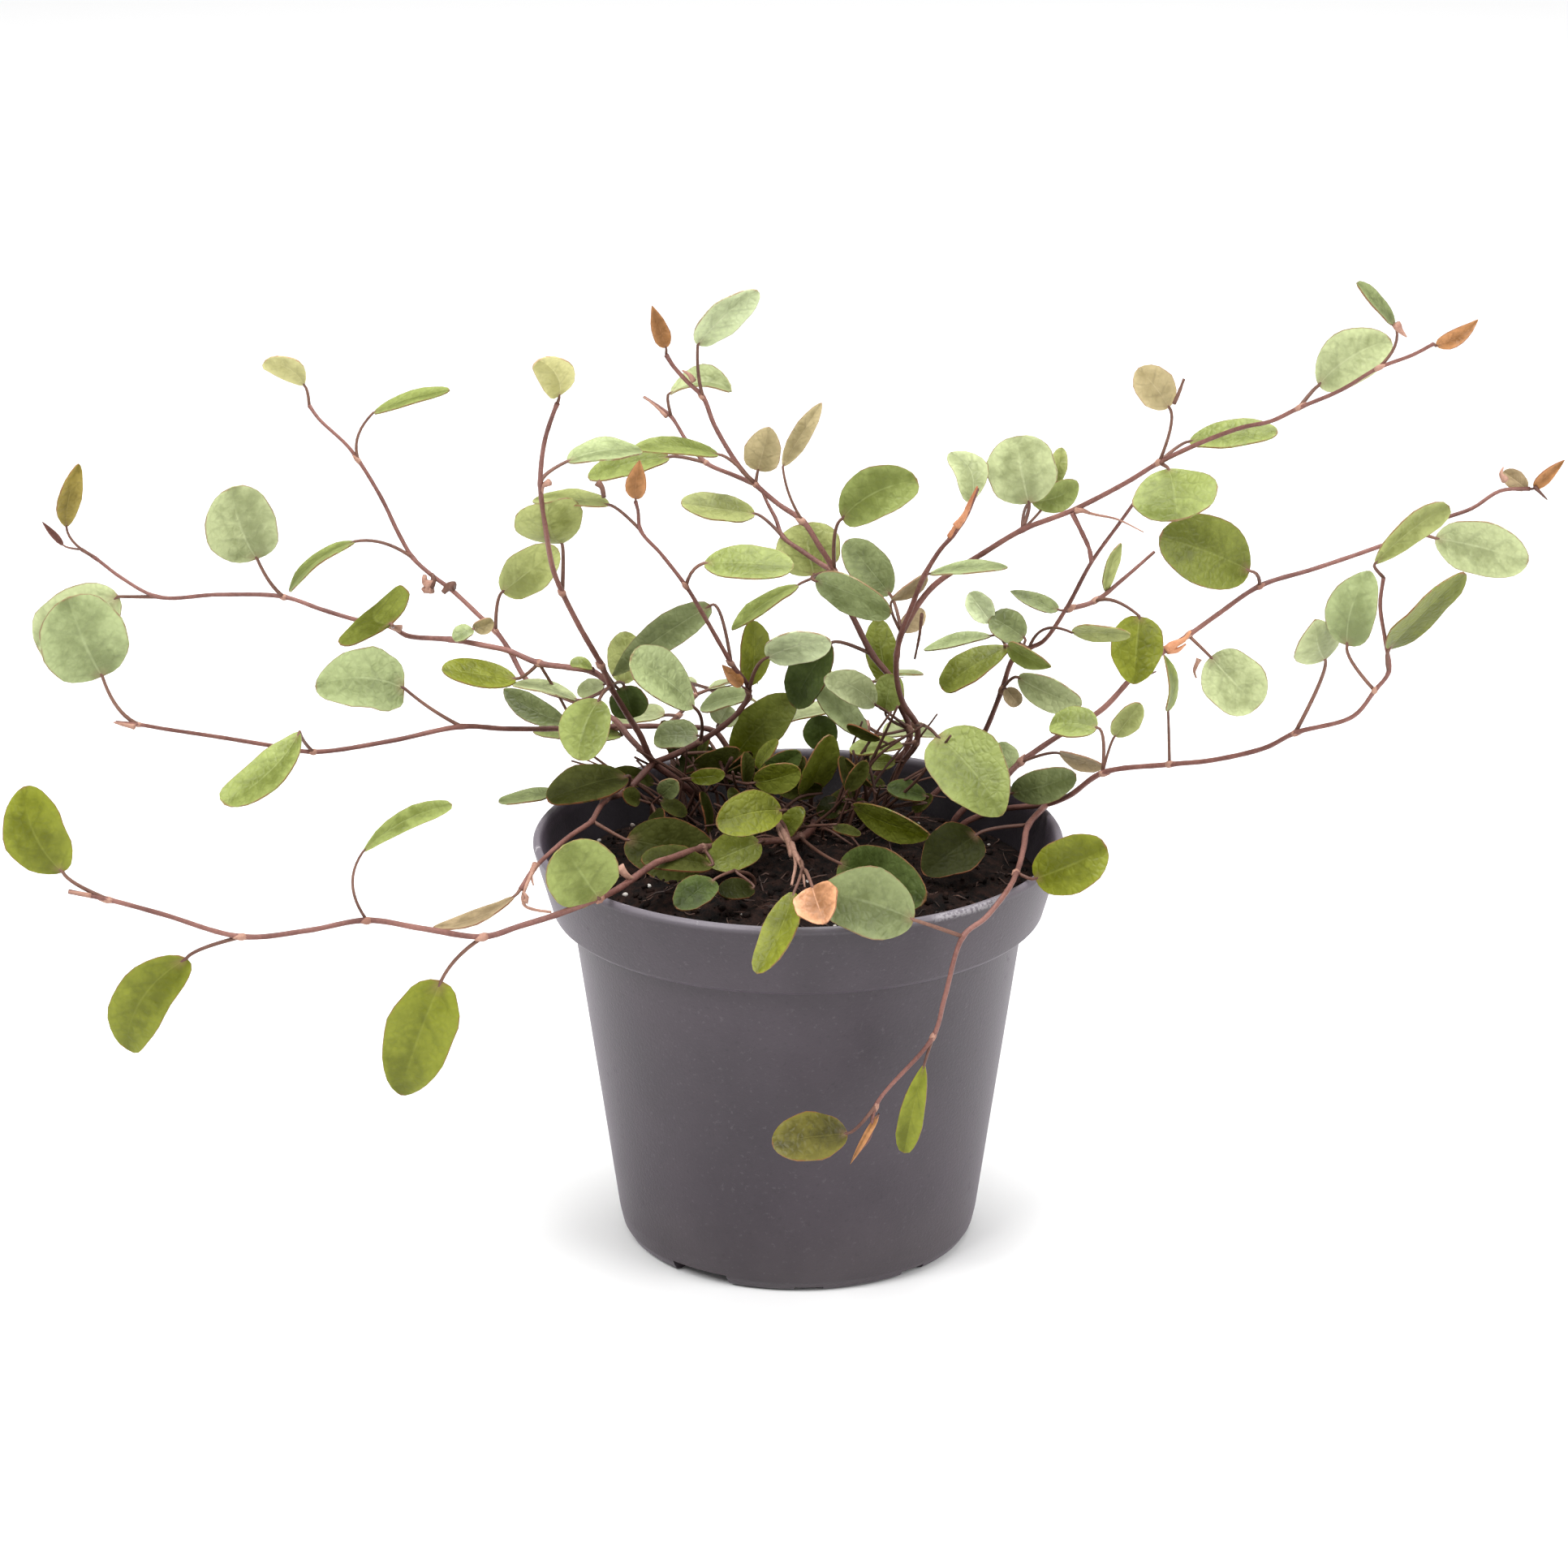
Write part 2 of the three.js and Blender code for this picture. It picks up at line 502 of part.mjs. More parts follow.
const BACK_RIGHT = [
  {
    radius: 0.85,
    foot: [13, 45],
    route: [
      [15.5, 121, 58], [12, 125, 66], [14, 130, 74], [11, 132, 82], [13, 131, 88],
    ],
    leaves: [
      [4, [13.5, 130.5, 88], [21, 128, 92], 8, -80, 0.15, 0.06],
      [3, [8, 133.5, 80], [-3, 133, 80], 11, 85, 0.15, 0.06],
      [2, [17, 132, 72], [28, 133, 72], 11, -85, 0.15, 0.06],
      [1, [9, 125, 66], [-3, 122, 68], 12, 75, 0.15, 0.06],
      [0, [19, 119.5, 60], [31, 119, 62], 12, -70, 0.15, 0.06],
    ],
  },
];

const PLANT = [
  ["stem_fan_left", FAN_LEFT, 0x8fa552],
  ["stem_low_left", LOW_LEFT, 0x86a052],
  ["stem_fan_top", FAN_TOP, 0x93a85c],
  ["stem_centre", CENTRE, 0x8aa456],
  ["stem_right_fan", RIGHT_FAN, 0x7d964a],
  ["stem_right_far", RIGHT_FAR, 0x84a058],
  ["stem_right_low", RIGHT_LOW, 0x88a43e],
  ["stem_front_long", FRONT_LONG, 0x7c9a40],
  ["sprig_front", SPRIG_FRONT, 0x8c9c34],
  ["sprig_low_front", SPRIG_LOW_FRONT, 0x5c7a34],
  ["sprig_centre_right", SPRIG_CENTRE_RIGHT, 0x587436],
  ["sprig_centre_left", SPRIG_CENTRE_LEFT, 0x4f6c34],
  ["sprig_centre", SPRIG_CENTRE, 0x5e7c38],
  ["sprig_left", SPRIG_LEFT, 0xa9b884],
  ["stem_back_left", BACK_LEFT, 0x7e9650],
  ["stem_back_right", BACK_RIGHT, 0x7e9650],
];

const wasm = await Module();
wasm.setup();

// A closed solid of a geometry.
function solid(geometry) {
  const bare = geometry.clone();
  bare.deleteAttribute("normal");
  bare.deleteAttribute("uv");
  const merged = mergeVertices(bare, 1e-4);
  return new wasm.Manifold(
    new wasm.Mesh({
      numProp: 3,
      vertProperties: new Float32Array(merged.attributes.position.array),
      triVerts: new Uint32Array(merged.index.array),
    }),
  );
}

// A named mesh of a solid.
function meshOf(name, body, colour, roughness) {
  const cut = body.getMesh();
  const geometry = new THREE.BufferGeometry();
  geometry.setAttribute("position", new THREE.BufferAttribute(cut.vertProperties, cut.numProp));
  geometry.setIndex(new THREE.BufferAttribute(cut.triVerts, 1));
  geometry.computeVertexNormals();
  const material = new THREE.MeshStandardMaterial({ color: colour, roughness, metalness: 0 });
  const mesh = new THREE.Mesh(geometry, material);
  mesh.name = name;
  return mesh;
}

// A body turned about the Z axis from a profile of [radius, height] pairs.
function turned(profile) {
  const points = profile.map(([radius, height]) => new THREE.Vector2(radius, height));
  return new THREE.LatheGeometry(points, POT_SIDES).rotateX(Math.PI / 2);
}

// The real place of a row's point.
function seen([x, z, y]) {
  const k = 1 + y / EYE_BEFORE;
  return new THREE.Vector3(EYE_X + (x - EYE_X) * k, y, EYE_HIGH + (z - EYE_HIGH) * k);
}

// Height of the soil, which domes to the middle and is a little lumpy.
function soilHigh(x, y) {
  const out = Math.min(1, Math.hypot(x, y) / SOIL_EDGE_RADIUS);
  const inner = 1 - out ** 4;
  const [broad, turnsX, turnsY, startX, startY] = BROAD_LUMP;
  const [small, acrossX, acrossY] = SMALL_LUMP;
  const wide = broad * Math.sin(turnsX * x + startX) * Math.sin(turnsY * y + startY);
  const lump = wide + small * Math.sin(acrossX * x + acrossY * y);
  return SOIL_EDGE_HIGH + SOIL_DOME * (1 - out ** 2) + lump * inner;
}

// A smooth curve that passes its points at even steps.
class StemCurve extends THREE.CatmullRomCurve3 {
  getPointAt(share, target) {
    return this.getPoint(share, target);
  }

  getTangentAt(share, target) {
    return this.getTangent(share, target);
  }
}

// A tube along a curve, as thick as radius at its start and thinner by the share at its end.
function tube(curve, radius, endShare, sides, steps) {
  const ring = new THREE.Shape();
  for (let side = 0; side < sides; side++) {
    const angle = (side / sides) * Math.PI * 2;
    if (side) ring.lineTo(radius * Math.cos(angle), radius * Math.sin(angle));
    else ring.moveTo(radius, 0);
  }
  const geometry = new THREE.ExtrudeGeometry(ring, { steps, bevelEnabled: false, extrudePath: curve });
  const centres = curve.getSpacedPoints(steps);
  const place = geometry.getAttribute("position");
  const at = new THREE.Vector3();
  for (let i = 0; i < place.count; i++) {
    at.fromBufferAttribute(place, i);
    let near = 0;
    for (let j = 1; j <= steps; j++) {
      if (at.distanceTo(centres[j]) < at.distanceTo(centres[near])) near = j;
    }
    const share = 1 + (endShare - 1) * (near / steps);
    at.sub(centres[near]).multiplyScalar(share).add(centres[near]);
    place.setXYZ(i, at.x, at.y, at.z);
  }
  return geometry;
}

// Length and the three directions of a blade: along the midrib, across it and out of its upper face.
function bladeFrame(base, tip, roll) {
  const along = tip.clone().sub(base);
  const length = along.length();
  along.normalize();
  const eye = new THREE.Vector3(EYE_X, -EYE_BEFORE, EYE_HIGH);
  const facing = eye.sub(base.clone().add(tip).multiplyScalar(0.5));
  facing.addScaledVector(along, -facing.dot(along)).normalize();
  const side = new THREE.Vector3().crossVectors(facing, along);
  const turn = THREE.MathUtils.degToRad(roll);
  const across = side.clone().multiplyScalar(Math.cos(turn)).addScaledVector(facing, Math.sin(turn));
  const out = facing.clone().multiplyScalar(Math.cos(turn)).addScaledVector(side, -Math.sin(turn));
  return { length, along, across, out };
}

// A point of the blade's middle layer: share of the length, and share of the half width, -1 to 1.
function bladePoint(base, frame, width, fold, arch, bend, share, aside) {
  const bulge = frame.length * 4 * share * (1 - share);
  const lift = arch * bulge + ((fold * width) / 2) * (Math.abs(aside) ** FOLD_POWER - FOLD_MIDDLE);
  return base
    .clone()
    .addScaledVector(frame.along, frame.length * share)
    .addScaledVector(frame.across, (width / 2) * aside + bend * bulge)
    .addScaledVector(frame.out, lift);
}

// The blade's outline at an angle from its base: rounded, broadest below the middle, notched if broad.
function outline(angle, ratio) {
  const cos = Math.cos(angle);
  const sin = Math.sin(angle);
  const fromBase = Math.min(angle, Math.PI * 2 - angle);
  const notch = RIM_NOTCH * Math.max(0, ratio - RIM_NOTCH_FROM);
  const near = (fromBase - RIM_NOTCH_ANGLE) / RIM_NOTCH_WIDE;
  const share = (1 - cos) / 2 - notch * Math.exp(-(near ** 2));
  const aside = Math.sign(sin) * Math.abs(sin) ** RIM_BLUNT * (1 + RIM_BASE_WIDER * cos);
  return [share, aside];
}

// A leaf in one skin: a stalk of three sides that starts inside the stem, and a thin waved blade
// whose faces are fans round its middle.
function leaf(from, [, baseRow, tipRow, width, roll, fold, arch, bend = 0]) {
  const base = seen(baseRow);
  const tip = seen(tipRow);
  const frame = bladeFrame(base, tip, roll);
  const rimCount = width < BROAD_BLADE ? NARROW_RIM : BROAD_RIM;
  const middle = [];
  for (let rim = 0; rim < rimCount; rim++) {
    const [share, aside] = outline((rim / rimCount) * Math.PI * 2, width / frame.length);
    middle.push(bladePoint(base, frame, width, fold, arch, bend, share, aside));
  }
  middle.push(bladePoint(base, frame, width, fold, arch, bend, 0.5, 0));
  const half = frame.out.clone().multiplyScalar(BLADE_THICK / 2);
  const corners = [
    ...middle.map((point) => point.clone().add(half)),
    ...middle.map((point) => point.clone().sub(half)),
  ];
  const under = middle.length;
  const stalkLeft = corners.length;
  const stalkRight = stalkLeft + 1;
  const faces = [stalkLeft, stalkRight, rimCount];
  for (let rim = 0; rim < rimCount; rim++) {
    const nextRim = (rim + 1) % rimCount;
    const here = rim || stalkLeft;
    const next = nextRim || stalkRight;
    const hereUnder = rim + under;
    const nextUnder = nextRim + under;
    faces.push(here, rimCount, next, hereUnder, nextUnder, rimCount + under);
    faces.push(here, next, hereUnder, next, nextUnder, hereUnder);
  }
  const join = middle[0];
  const before = join.clone().addScaledVector(frame.along, -PETIOLE_BOW * from.distanceTo(join));
  const stalk = new THREE.QuadraticBezierCurve3(from, before, join);
  const sideStep = frame.across.clone().multiplyScalar(PETIOLE_RADIUS * PETIOLE_JOIN);
  corners.push(corners[0].clone().add(sideStep), corners[0].clone().sub(sideStep));
  let later = [stalkLeft, stalkRight, under];
  const across = frame.across.clone();
  for (let step = PETIOLE_STEPS - 1; step >= 0; step--) {
    const at = stalk.getPoint(step / PETIOLE_STEPS);
    const along = stalk.getTangent(step / PETIOLE_STEPS);
    across.addScaledVector(along, -across.dot(along)).normalize();
    const out = new THREE.Vector3().crossVectors(along, across);
    const ring = [];
    for (const angle of PETIOLE_CORNERS) {
      const turn = THREE.MathUtils.degToRad(angle);
      ring.push(corners.length);
      corners.push(
        at
          .clone()
          .addScaledVector(across, PETIOLE_RADIUS * Math.cos(turn))
          .addScaledVector(out, PETIOLE_RADIUS * Math.sin(turn)),
      );
    }
    for (let side = 0; side < 3; side++) {
      const beside = (side + 1) % 3;
      faces.push(ring[side], ring[beside], later[beside], ring[side], later[beside], later[side]);
    }
    later = ring;
  }
  faces.push(later[0], later[2], later[1]);
  const geometry = new THREE.BufferGeometry().setFromPoints(corners);
  geometry.setIndex(faces);
  return solid(geometry);
}

// The solids of one stem of a piece: its tube, from deep in the soil, and its leaves.
function stemSolids({ radius, foot, route, leaves }) {
  const nodes = route.map(seen);
  const points = [...nodes];
  if (foot) {
    const [x, y] = foot;
    const top = soilHigh(x, y);
    points.unshift(new THREE.Vector3(x, y, top - FOOT_DEEP), new THREE.Vector3(x, y, top + FOOT_ABOVE));
  }
  const curve = new StemCurve(points, false, "centripetal");
  const bodies = [solid(tube(curve, radius, STEM_TIP_SHARE, STEM_SIDES, points.length - 1))];
  for (const row of leaves) bodies.push(leaf(nodes[row[0]], row));
  return bodies;
}

// The pot: a turned shell with a stepped rim, feet and drain holes.
function pot() {
  let body = solid(
    turned([
      [0, FLOOR_UNDER], [FOOT_INNER, FLOOR_UNDER], [FOOT_INNER, 0], [FOOT_OUTER, 0],
      [39.2, 0.7], [40.4, 2.6], [41.2, 6.2], [51.3, 78], [54.6, 78], [55.6, 78.9],
      [RIM_OUTER - 0.2, 93.6], [RIM_OUTER, 94.4], [RIM_OUTER - 0.5, POT_HIGH - 0.3], [58.9, POT_HIGH],
      [58.3, 95.2], [58, 94.4], [54.2, 79.4], [50.1, 77.2], [40, 7.5], [38, FLOOR_TOP], [0, FLOOR_TOP],
    ]),
  );
  for (const [turn, wide, high] of FOOT_NOTCHES) {
    const notch = new THREE.BoxGeometry(NOTCH_DEEP, wide, high + NOTCH_BELOW);
    notch.translate(NOTCH_MIDDLE, 0, (high - NOTCH_BELOW) / 2);
    notch.rotateZ(THREE.MathUtils.degToRad(turn));
    body = body.subtract(solid(notch));
  }
  for (let i = 0; i <= DRAIN_COUNT; i++) {
    const middle = i === DRAIN_COUNT;
    const radius = middle ? DRAIN_MIDDLE_RADIUS : DRAIN_RADIUS;
    const hole = new THREE.CylinderGeometry(radius, radius, DRAIN_CUT_HIGH, DRAIN_SIDES);
    hole.rotateX(Math.PI / 2);
    hole.translate(middle ? 0 : DRAIN_RING, 0, (FLOOR_UNDER + FLOOR_TOP) / 2);
    hole.rotateZ((i * Math.PI * 2) / DRAIN_COUNT);
    body = body.subtract(solid(hole));
  }
  return body;
}

// The soil: fills the pot to below its rim, with a plain hole for each stem's foot.
function soil() {
  const low = FLOOR_TOP + SOIL_GAP;
  const geometry = turned([
    [0, low], [37.7, low], [39.65, 7.7], [49.8, 77.35], [53.95, 79.65], [SOIL_EDGE_RADIUS, SOIL_EDGE_HIGH],
    ...SOIL_TOP_RADII.map((radius) => [radius, POT_HIGH]),
  ]);
  const place = geometry.getAttribute("position");
  for (let i = 0; i < place.count; i++) {
    const x = place.getX(i);
    const y = place.getY(i);
    if (place.getZ(i) > SOIL_EDGE_HIGH + 1) place.setZ(i, soilHigh(x, y));
  }
  let body = solid(geometry);
  for (const [, stems] of PLANT) {
    for (const { radius, foot } of stems) {
      if (!foot) continue;
      const [x, y] = foot;
      const wide = (radius + HOLE_GAP) / Math.cos(Math.PI / HOLE_SIDES);
      const top = soilHigh(x, y) + HOLE_ABOVE;
      const bottom = soilHigh(x, y) - FOOT_DEEP - SOIL_GAP;
      const hole = new THREE.CylinderGeometry(wide, wide, top - bottom, HOLE_SIDES);
      hole.rotateX(Math.PI / 2);
      hole.translate(x, y, (top + bottom) / 2);
      body = body.subtract(solid(hole));
    }
  }
  return body;
}

const group = new THREE.Group();
group.name = "potted_maidenhair_vine";
group.add(meshOf("pot", pot(), 0x5c545c, 0.55));
group.add(meshOf("soil", soil(), 0x2c1d17, 0.95));
for (const [name, stems, colour] of PLANT) {
  const bodies = stems.flatMap(stemSolids);
  group.add(meshOf(name, bodies.reduce((whole, body) => whole.add(body)), colour, 0.6));
}

export default group;
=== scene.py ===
"""Dresses the potted maidenhair vine: pot, soil and leafy stems, in metres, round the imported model."""

from __future__ import annotations

import logging
import math
import random
from dataclasses import dataclass, field
from enum import Enum
from typing import Any

import bmesh
import bpy
from mathutils import Matrix, Vector, noise


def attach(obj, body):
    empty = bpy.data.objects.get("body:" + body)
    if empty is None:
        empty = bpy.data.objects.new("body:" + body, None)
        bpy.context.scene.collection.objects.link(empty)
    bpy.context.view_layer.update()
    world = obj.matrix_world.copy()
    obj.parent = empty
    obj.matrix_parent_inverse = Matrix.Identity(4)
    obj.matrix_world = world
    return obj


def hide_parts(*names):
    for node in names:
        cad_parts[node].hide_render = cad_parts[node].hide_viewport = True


log = logging.getLogger("vine")
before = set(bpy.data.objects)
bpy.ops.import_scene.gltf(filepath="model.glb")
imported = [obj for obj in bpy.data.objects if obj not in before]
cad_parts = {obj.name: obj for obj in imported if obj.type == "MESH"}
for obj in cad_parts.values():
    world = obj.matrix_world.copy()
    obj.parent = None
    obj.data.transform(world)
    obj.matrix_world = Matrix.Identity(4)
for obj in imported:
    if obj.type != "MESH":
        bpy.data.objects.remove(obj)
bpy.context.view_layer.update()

MM = 0.001
SEED = 11
BLADE_MAP = "blade"
MERGE_WITHIN = 1e-6
CREASE = math.radians(34)

# The viewing point that the stem rows are given for
EYE = Vector((-3.2, -1131.4, 507.1))

# The soil's surface, in millimetres
SOIL_EDGE_HIGH = 83.5
SOIL_DOME = 6.0
SOIL_EDGE_RADIUS = 54.9

# Where the pot's finish changes, in metres: up its height, aside, to the front and out from its axis. The
# lip's top has a painted highlight, its worn patches and the scuff wear with a painted highlight, and the
# inner wall painted shade
LIP_WEAR_AND_HIGHLIGHT = (0.0938, 0.0952)
LIP_HIGHLIGHT = (0.0935, 0.0952)
INNER_SHADE_FROM = (0.0775, 0.079)
INNER_SHADE_TO = (0.0915, 0.0935)
SPLASHED = (0.0, 0.025)
COLLAR_SLOPE = 0.27
COLLAR_INSIDE = (0.0334, 0.0342)
SCUFF_AND_HIGHLIGHT_HIGH = (0.0935, 0.0945)
SCUFF_AND_HIGHLIGHT_START = (0.028, 0.031)
SCUFF_AND_HIGHLIGHT_END = (0.042, 0.046)
SCUFF_AND_HIGHLIGHT_FRONT = (-0.04, -0.02)
SCUFF_AND_HIGHLIGHT_OUT = (0.0591, 0.0594)

# Middle of the crown, round which the bark has painted shade, in metres
CROWN = (0.0, 0.02, 0.09)

Colour = tuple[float, float, float]
Point = tuple[float, float, float]
Span = tuple[float, float]
Outline = list[tuple[float, float]]


class Form(Enum):
    """The outlines of blades: how slowly one widens from its base, and narrows to its tip."""

    ROUND = (0.44, 0.41)
    OVAL = (0.54, 0.52)
    LENS = (0.72, 0.7)
    WEDGE = (0.7, 0.42)
    OVATE = (0.44, 0.62)
    POINTED = (0.5, 0.85)
    BUD = (0.55, 1.0)
    BLUNT = (0.3, 0.5)


@dataclass(frozen=True)
class LeafFinish:
    """How a leaf's skin looks: its middle shade, how far it drifts, its rim and its gloss."""

    shade: Colour
    drift: float = 0.3
    rim: Colour = (0.2, 0.07, 0.035)
    roughness: float = 0.42
    gloss: float = 0.35
    translucent: float = 0.25

    def scaled(self, size: float, white: float = 0.0) -> Colour:
        """The middle shade made lighter or darker, with white in it for its depth, or less if negative."""
        added = white * self.shade[1] * 3
        red, green, blue = (min(0.95, max(0.001, value * size + added)) for value in self.shade)
        return red, green, blue


@dataclass(frozen=True)
class BarkFinish:
    """How bark looks: two shades and a roughness."""

    deep: Colour
    light: Colour
    roughness: float


class Look(Enum):
    """The finishes that a leaf may have."""

    SAGE = LeafFinish((0.328, 0.384, 0.169))
    MOSS = LeafFinish((0.2, 0.235, 0.09))
    BRIGHT = LeafFinish((0.249, 0.294, 0.07))
    LIME = LeafFinish((0.185, 0.205, 0.004))
    DARK = LeafFinish((0.052, 0.057, 0.01), drift=0.4, gloss=0.06)
    DEEP = LeafFinish((0.062, 0.088, 0.018), drift=0.4, gloss=0.15)
    # painted shade: a near-black copy for leaves that stand in shade
    SHADE = LeafFinish((0.022, 0.025, 0.004), gloss=0.06)
    AUTUMN = LeafFinish((0.125, 0.11, 0.01), drift=0.5, rim=(0.24, 0.07, 0.02))
    OLIVE = LeafFinish((0.151, 0.173, 0.015))
    YELLOW = LeafFinish((0.354, 0.384, 0.124))
    CREAM = LeafFinish((0.594, 0.561, 0.248), drift=0.2, rim=(0.35, 0.16, 0.1))
    PALE = LeafFinish((0.42, 0.466, 0.23))
    # partly pale leaf colour and partly painted sheen: the lightest leaf colour, for leaves whose gloss shone
    # white
    GLOSSY = LeafFinish((0.575, 0.644, 0.38), roughness=0.3)
    OCHRE = LeafFinish((0.285, 0.215, 0.036), drift=0.4)
    BRONZE = LeafFinish((0.413, 0.188, 0.066), drift=0.35)
    BUD = LeafFinish((0.12, 0.045, 0.034))
    BLUSH = LeafFinish((0.436, 0.352, 0.179), drift=0.25, rim=(0.3, 0.13, 0.08))
    DRY = LeafFinish((0.36, 0.264, 0.144), roughness=0.55)
    PINK = LeafFinish((0.62, 0.3, 0.15), drift=0.45, roughness=0.36)
    UNDER = LeafFinish((0.33, 0.36, 0.18), roughness=0.6)


class Bark(Enum):
    """The finishes that a stem or a stalk may have."""

    COPPER = BarkFinish((0.105, 0.04, 0.032), (0.245, 0.11, 0.088), 0.45)
    BROWN = BarkFinish((0.05, 0.02, 0.013), (0.16, 0.075, 0.05), 0.6)
    STALK = BarkFinish((0.085, 0.036, 0.026), (0.2, 0.1, 0.07), 0.48)
    SHEATH = BarkFinish((0.22, 0.1, 0.07), (0.46, 0.27, 0.2), 0.65)
    TIP = BarkFinish((0.34, 0.11, 0.045), (0.58, 0.27, 0.14), 0.6)


Finish = Look | Bark | str


class Wire:
    """A socket that gives a number, so that shader sums read as plain sums."""

    def __init__(self, tree: Shader, socket: Any) -> None:
        """Keeps the tree that the sums go into and the socket."""
        self.tree = tree
        self.socket = socket

    def _sum(self, operation: str, first: Any, second: Any = None) -> Wire:
        """Adds one Math node.

        Args:
            operation: the node's operation.
            first: its first value or wire.
            second: its second value or wire, if it takes one.

        Returns:
            The wire of its result.
        """
        values = {0: first} if second is None else {0: first, 1: second}
        return self.tree.wire("ShaderNodeMath", {"operation": operation}, values, 0)

    def __add__(self, other: Any) -> Wire:
        """Sum."""
        return self._sum("ADD", self, other)

    __radd__ = __add__

    def __sub__(self, other: Any) -> Wire:
        """Difference."""
        return self._sum("SUBTRACT", self, other)

    def __rsub__(self, other: Any) -> Wire:
        """Difference from a number."""
        return self._sum("SUBTRACT", other, self)

    def __mul__(self, other: Any) -> Wire:
        """Product."""
        return self._sum("MULTIPLY", self, other)

    __rmul__ = __mul__

    def __abs__(self) -> Wire:
        """Size without sign."""
        return self._sum("ABSOLUTE", self)

    def sine(self) -> Wire:
        """Sine of the value as an angle."""
        return self._sum("SINE", self)

    def most(self, other: Any) -> Wire:
        """The larger of the two."""
        return self._sum("MAXIMUM", self, other)

    def between(self, low: float, high: float) -> Wire:
        """0 at low and below, 1 at high and above, and a smooth step from one to the other."""
        settings = {"interpolation_type": "SMOOTHSTEP"}
        values = {"Value": self, "From Min": low, "From Max": high}
        return self.tree.wire("ShaderNodeMapRange", settings, values, 0)


class Shader:
    """A material and the nodes that it is made of."""

    def __init__(self, name: str) -> None:
        """Starts a material with an output and nothing else."""
        self.material = bpy.data.materials.new(name)
        self.material.use_nodes = True
        self.tree = self.material.node_tree
        self.tree.nodes.clear()
        self.output = self.node("ShaderNodeOutputMaterial")

    def node(
        self, kind: str, settings: dict[str, Any] | None = None, values: dict[Any, Any] | None = None
    ) -> Any:
        """Adds a node.

        Args:
            kind: the node's type.
            settings: its own settings, such as an operation, or a ramp's stops.
            values: a number, colour, socket or wire for each socket named or numbered.

        Returns:
            The node.
        """
        made = self.tree.nodes.new(kind)
        for name, value in (settings or {}).items():
            setattr(made, name, value)
        for key, value in (values or {}).items():
            socket = made.inputs[key]
            value = value.socket if isinstance(value, Wire) else value
            if isinstance(value, bpy.types.NodeSocket):
                self.tree.links.new(value, socket)
            elif isinstance(value, tuple) and socket.type == "RGBA":
                socket.default_value = (*value, 1.0)
            else:
                socket.default_value = value
        return made

    def wire(
        self, kind: str, settings: dict[str, Any] | None, values: dict[Any, Any] | None, out: Any
    ) -> Wire:
        """Adds a node and gives one of its outputs as a wire."""
        return Wire(self, self.node(kind, settings, values).outputs[out])

    def place(self) -> Any:
        """Object coordinates, in metres."""
        return self.node("ShaderNodeTexCoord").outputs["Object"]

    def grain(self, where: Any, scale: float, detail: float = 3.0, rough: float = 0.55) -> Wire:
        """Noise over a place, 0 to 1 about a middle of a half.

        Args:
            where: the socket with the place.
            scale: how many waves to a metre.
            detail: how many finer octaves.
            rough: how strong the finer ones are.

        Returns:
            The wire with the noise.
        """
        values = {"Vector": where, "Scale": scale, "Detail": detail, "Roughness": rough}
        return self.wire("ShaderNodeTexNoise", None, values, 0)

    def cells(self, where: Any, scale: float) -> Wire:
        """How far each place is from the walls of a net of small cells."""
        settings = {"feature": "DISTANCE_TO_EDGE"}
        return self.wire("ShaderNodeTexVoronoi", settings, {"Vector": where, "Scale": scale}, "Distance")

    def blend(self, share: Any, first: Any, second: Any) -> Any:
        """Mixes two colours.

        Args:
            share: how much of the second, a number or a wire.
            first: a colour or a socket.
            second: a colour or a socket.

        Returns:
            The socket of the mixed colour.
        """
        settings = {"data_type": "RGBA", "clamp_factor": True}
        return self.node("ShaderNodeMix", settings, {0: share, 6: first, 7: second}).outputs[2]

    def bump(self, height: Wire, depth: float, strength: float = 1.0) -> Any:
        """A normal from a height, whose 1 stands for depth in metres."""
        values = {"Height": height, "Distance": depth, "Strength": strength}
        return self.node("ShaderNodeBump", None, values).outputs["Normal"]

    def skin(self, values: dict[Any, Any]) -> Any:
        """A surface's shader socket, from the values of its own sockets."""
        return self.node("ShaderNodeBsdfPrincipled", None, values).outputs[0]

    def close(self, surface: Any) -> bpy.types.Material:
        """Links the surface to the output and gives the material."""
        self.tree.links.new(surface, self.output.inputs["Surface"])
        return self.material


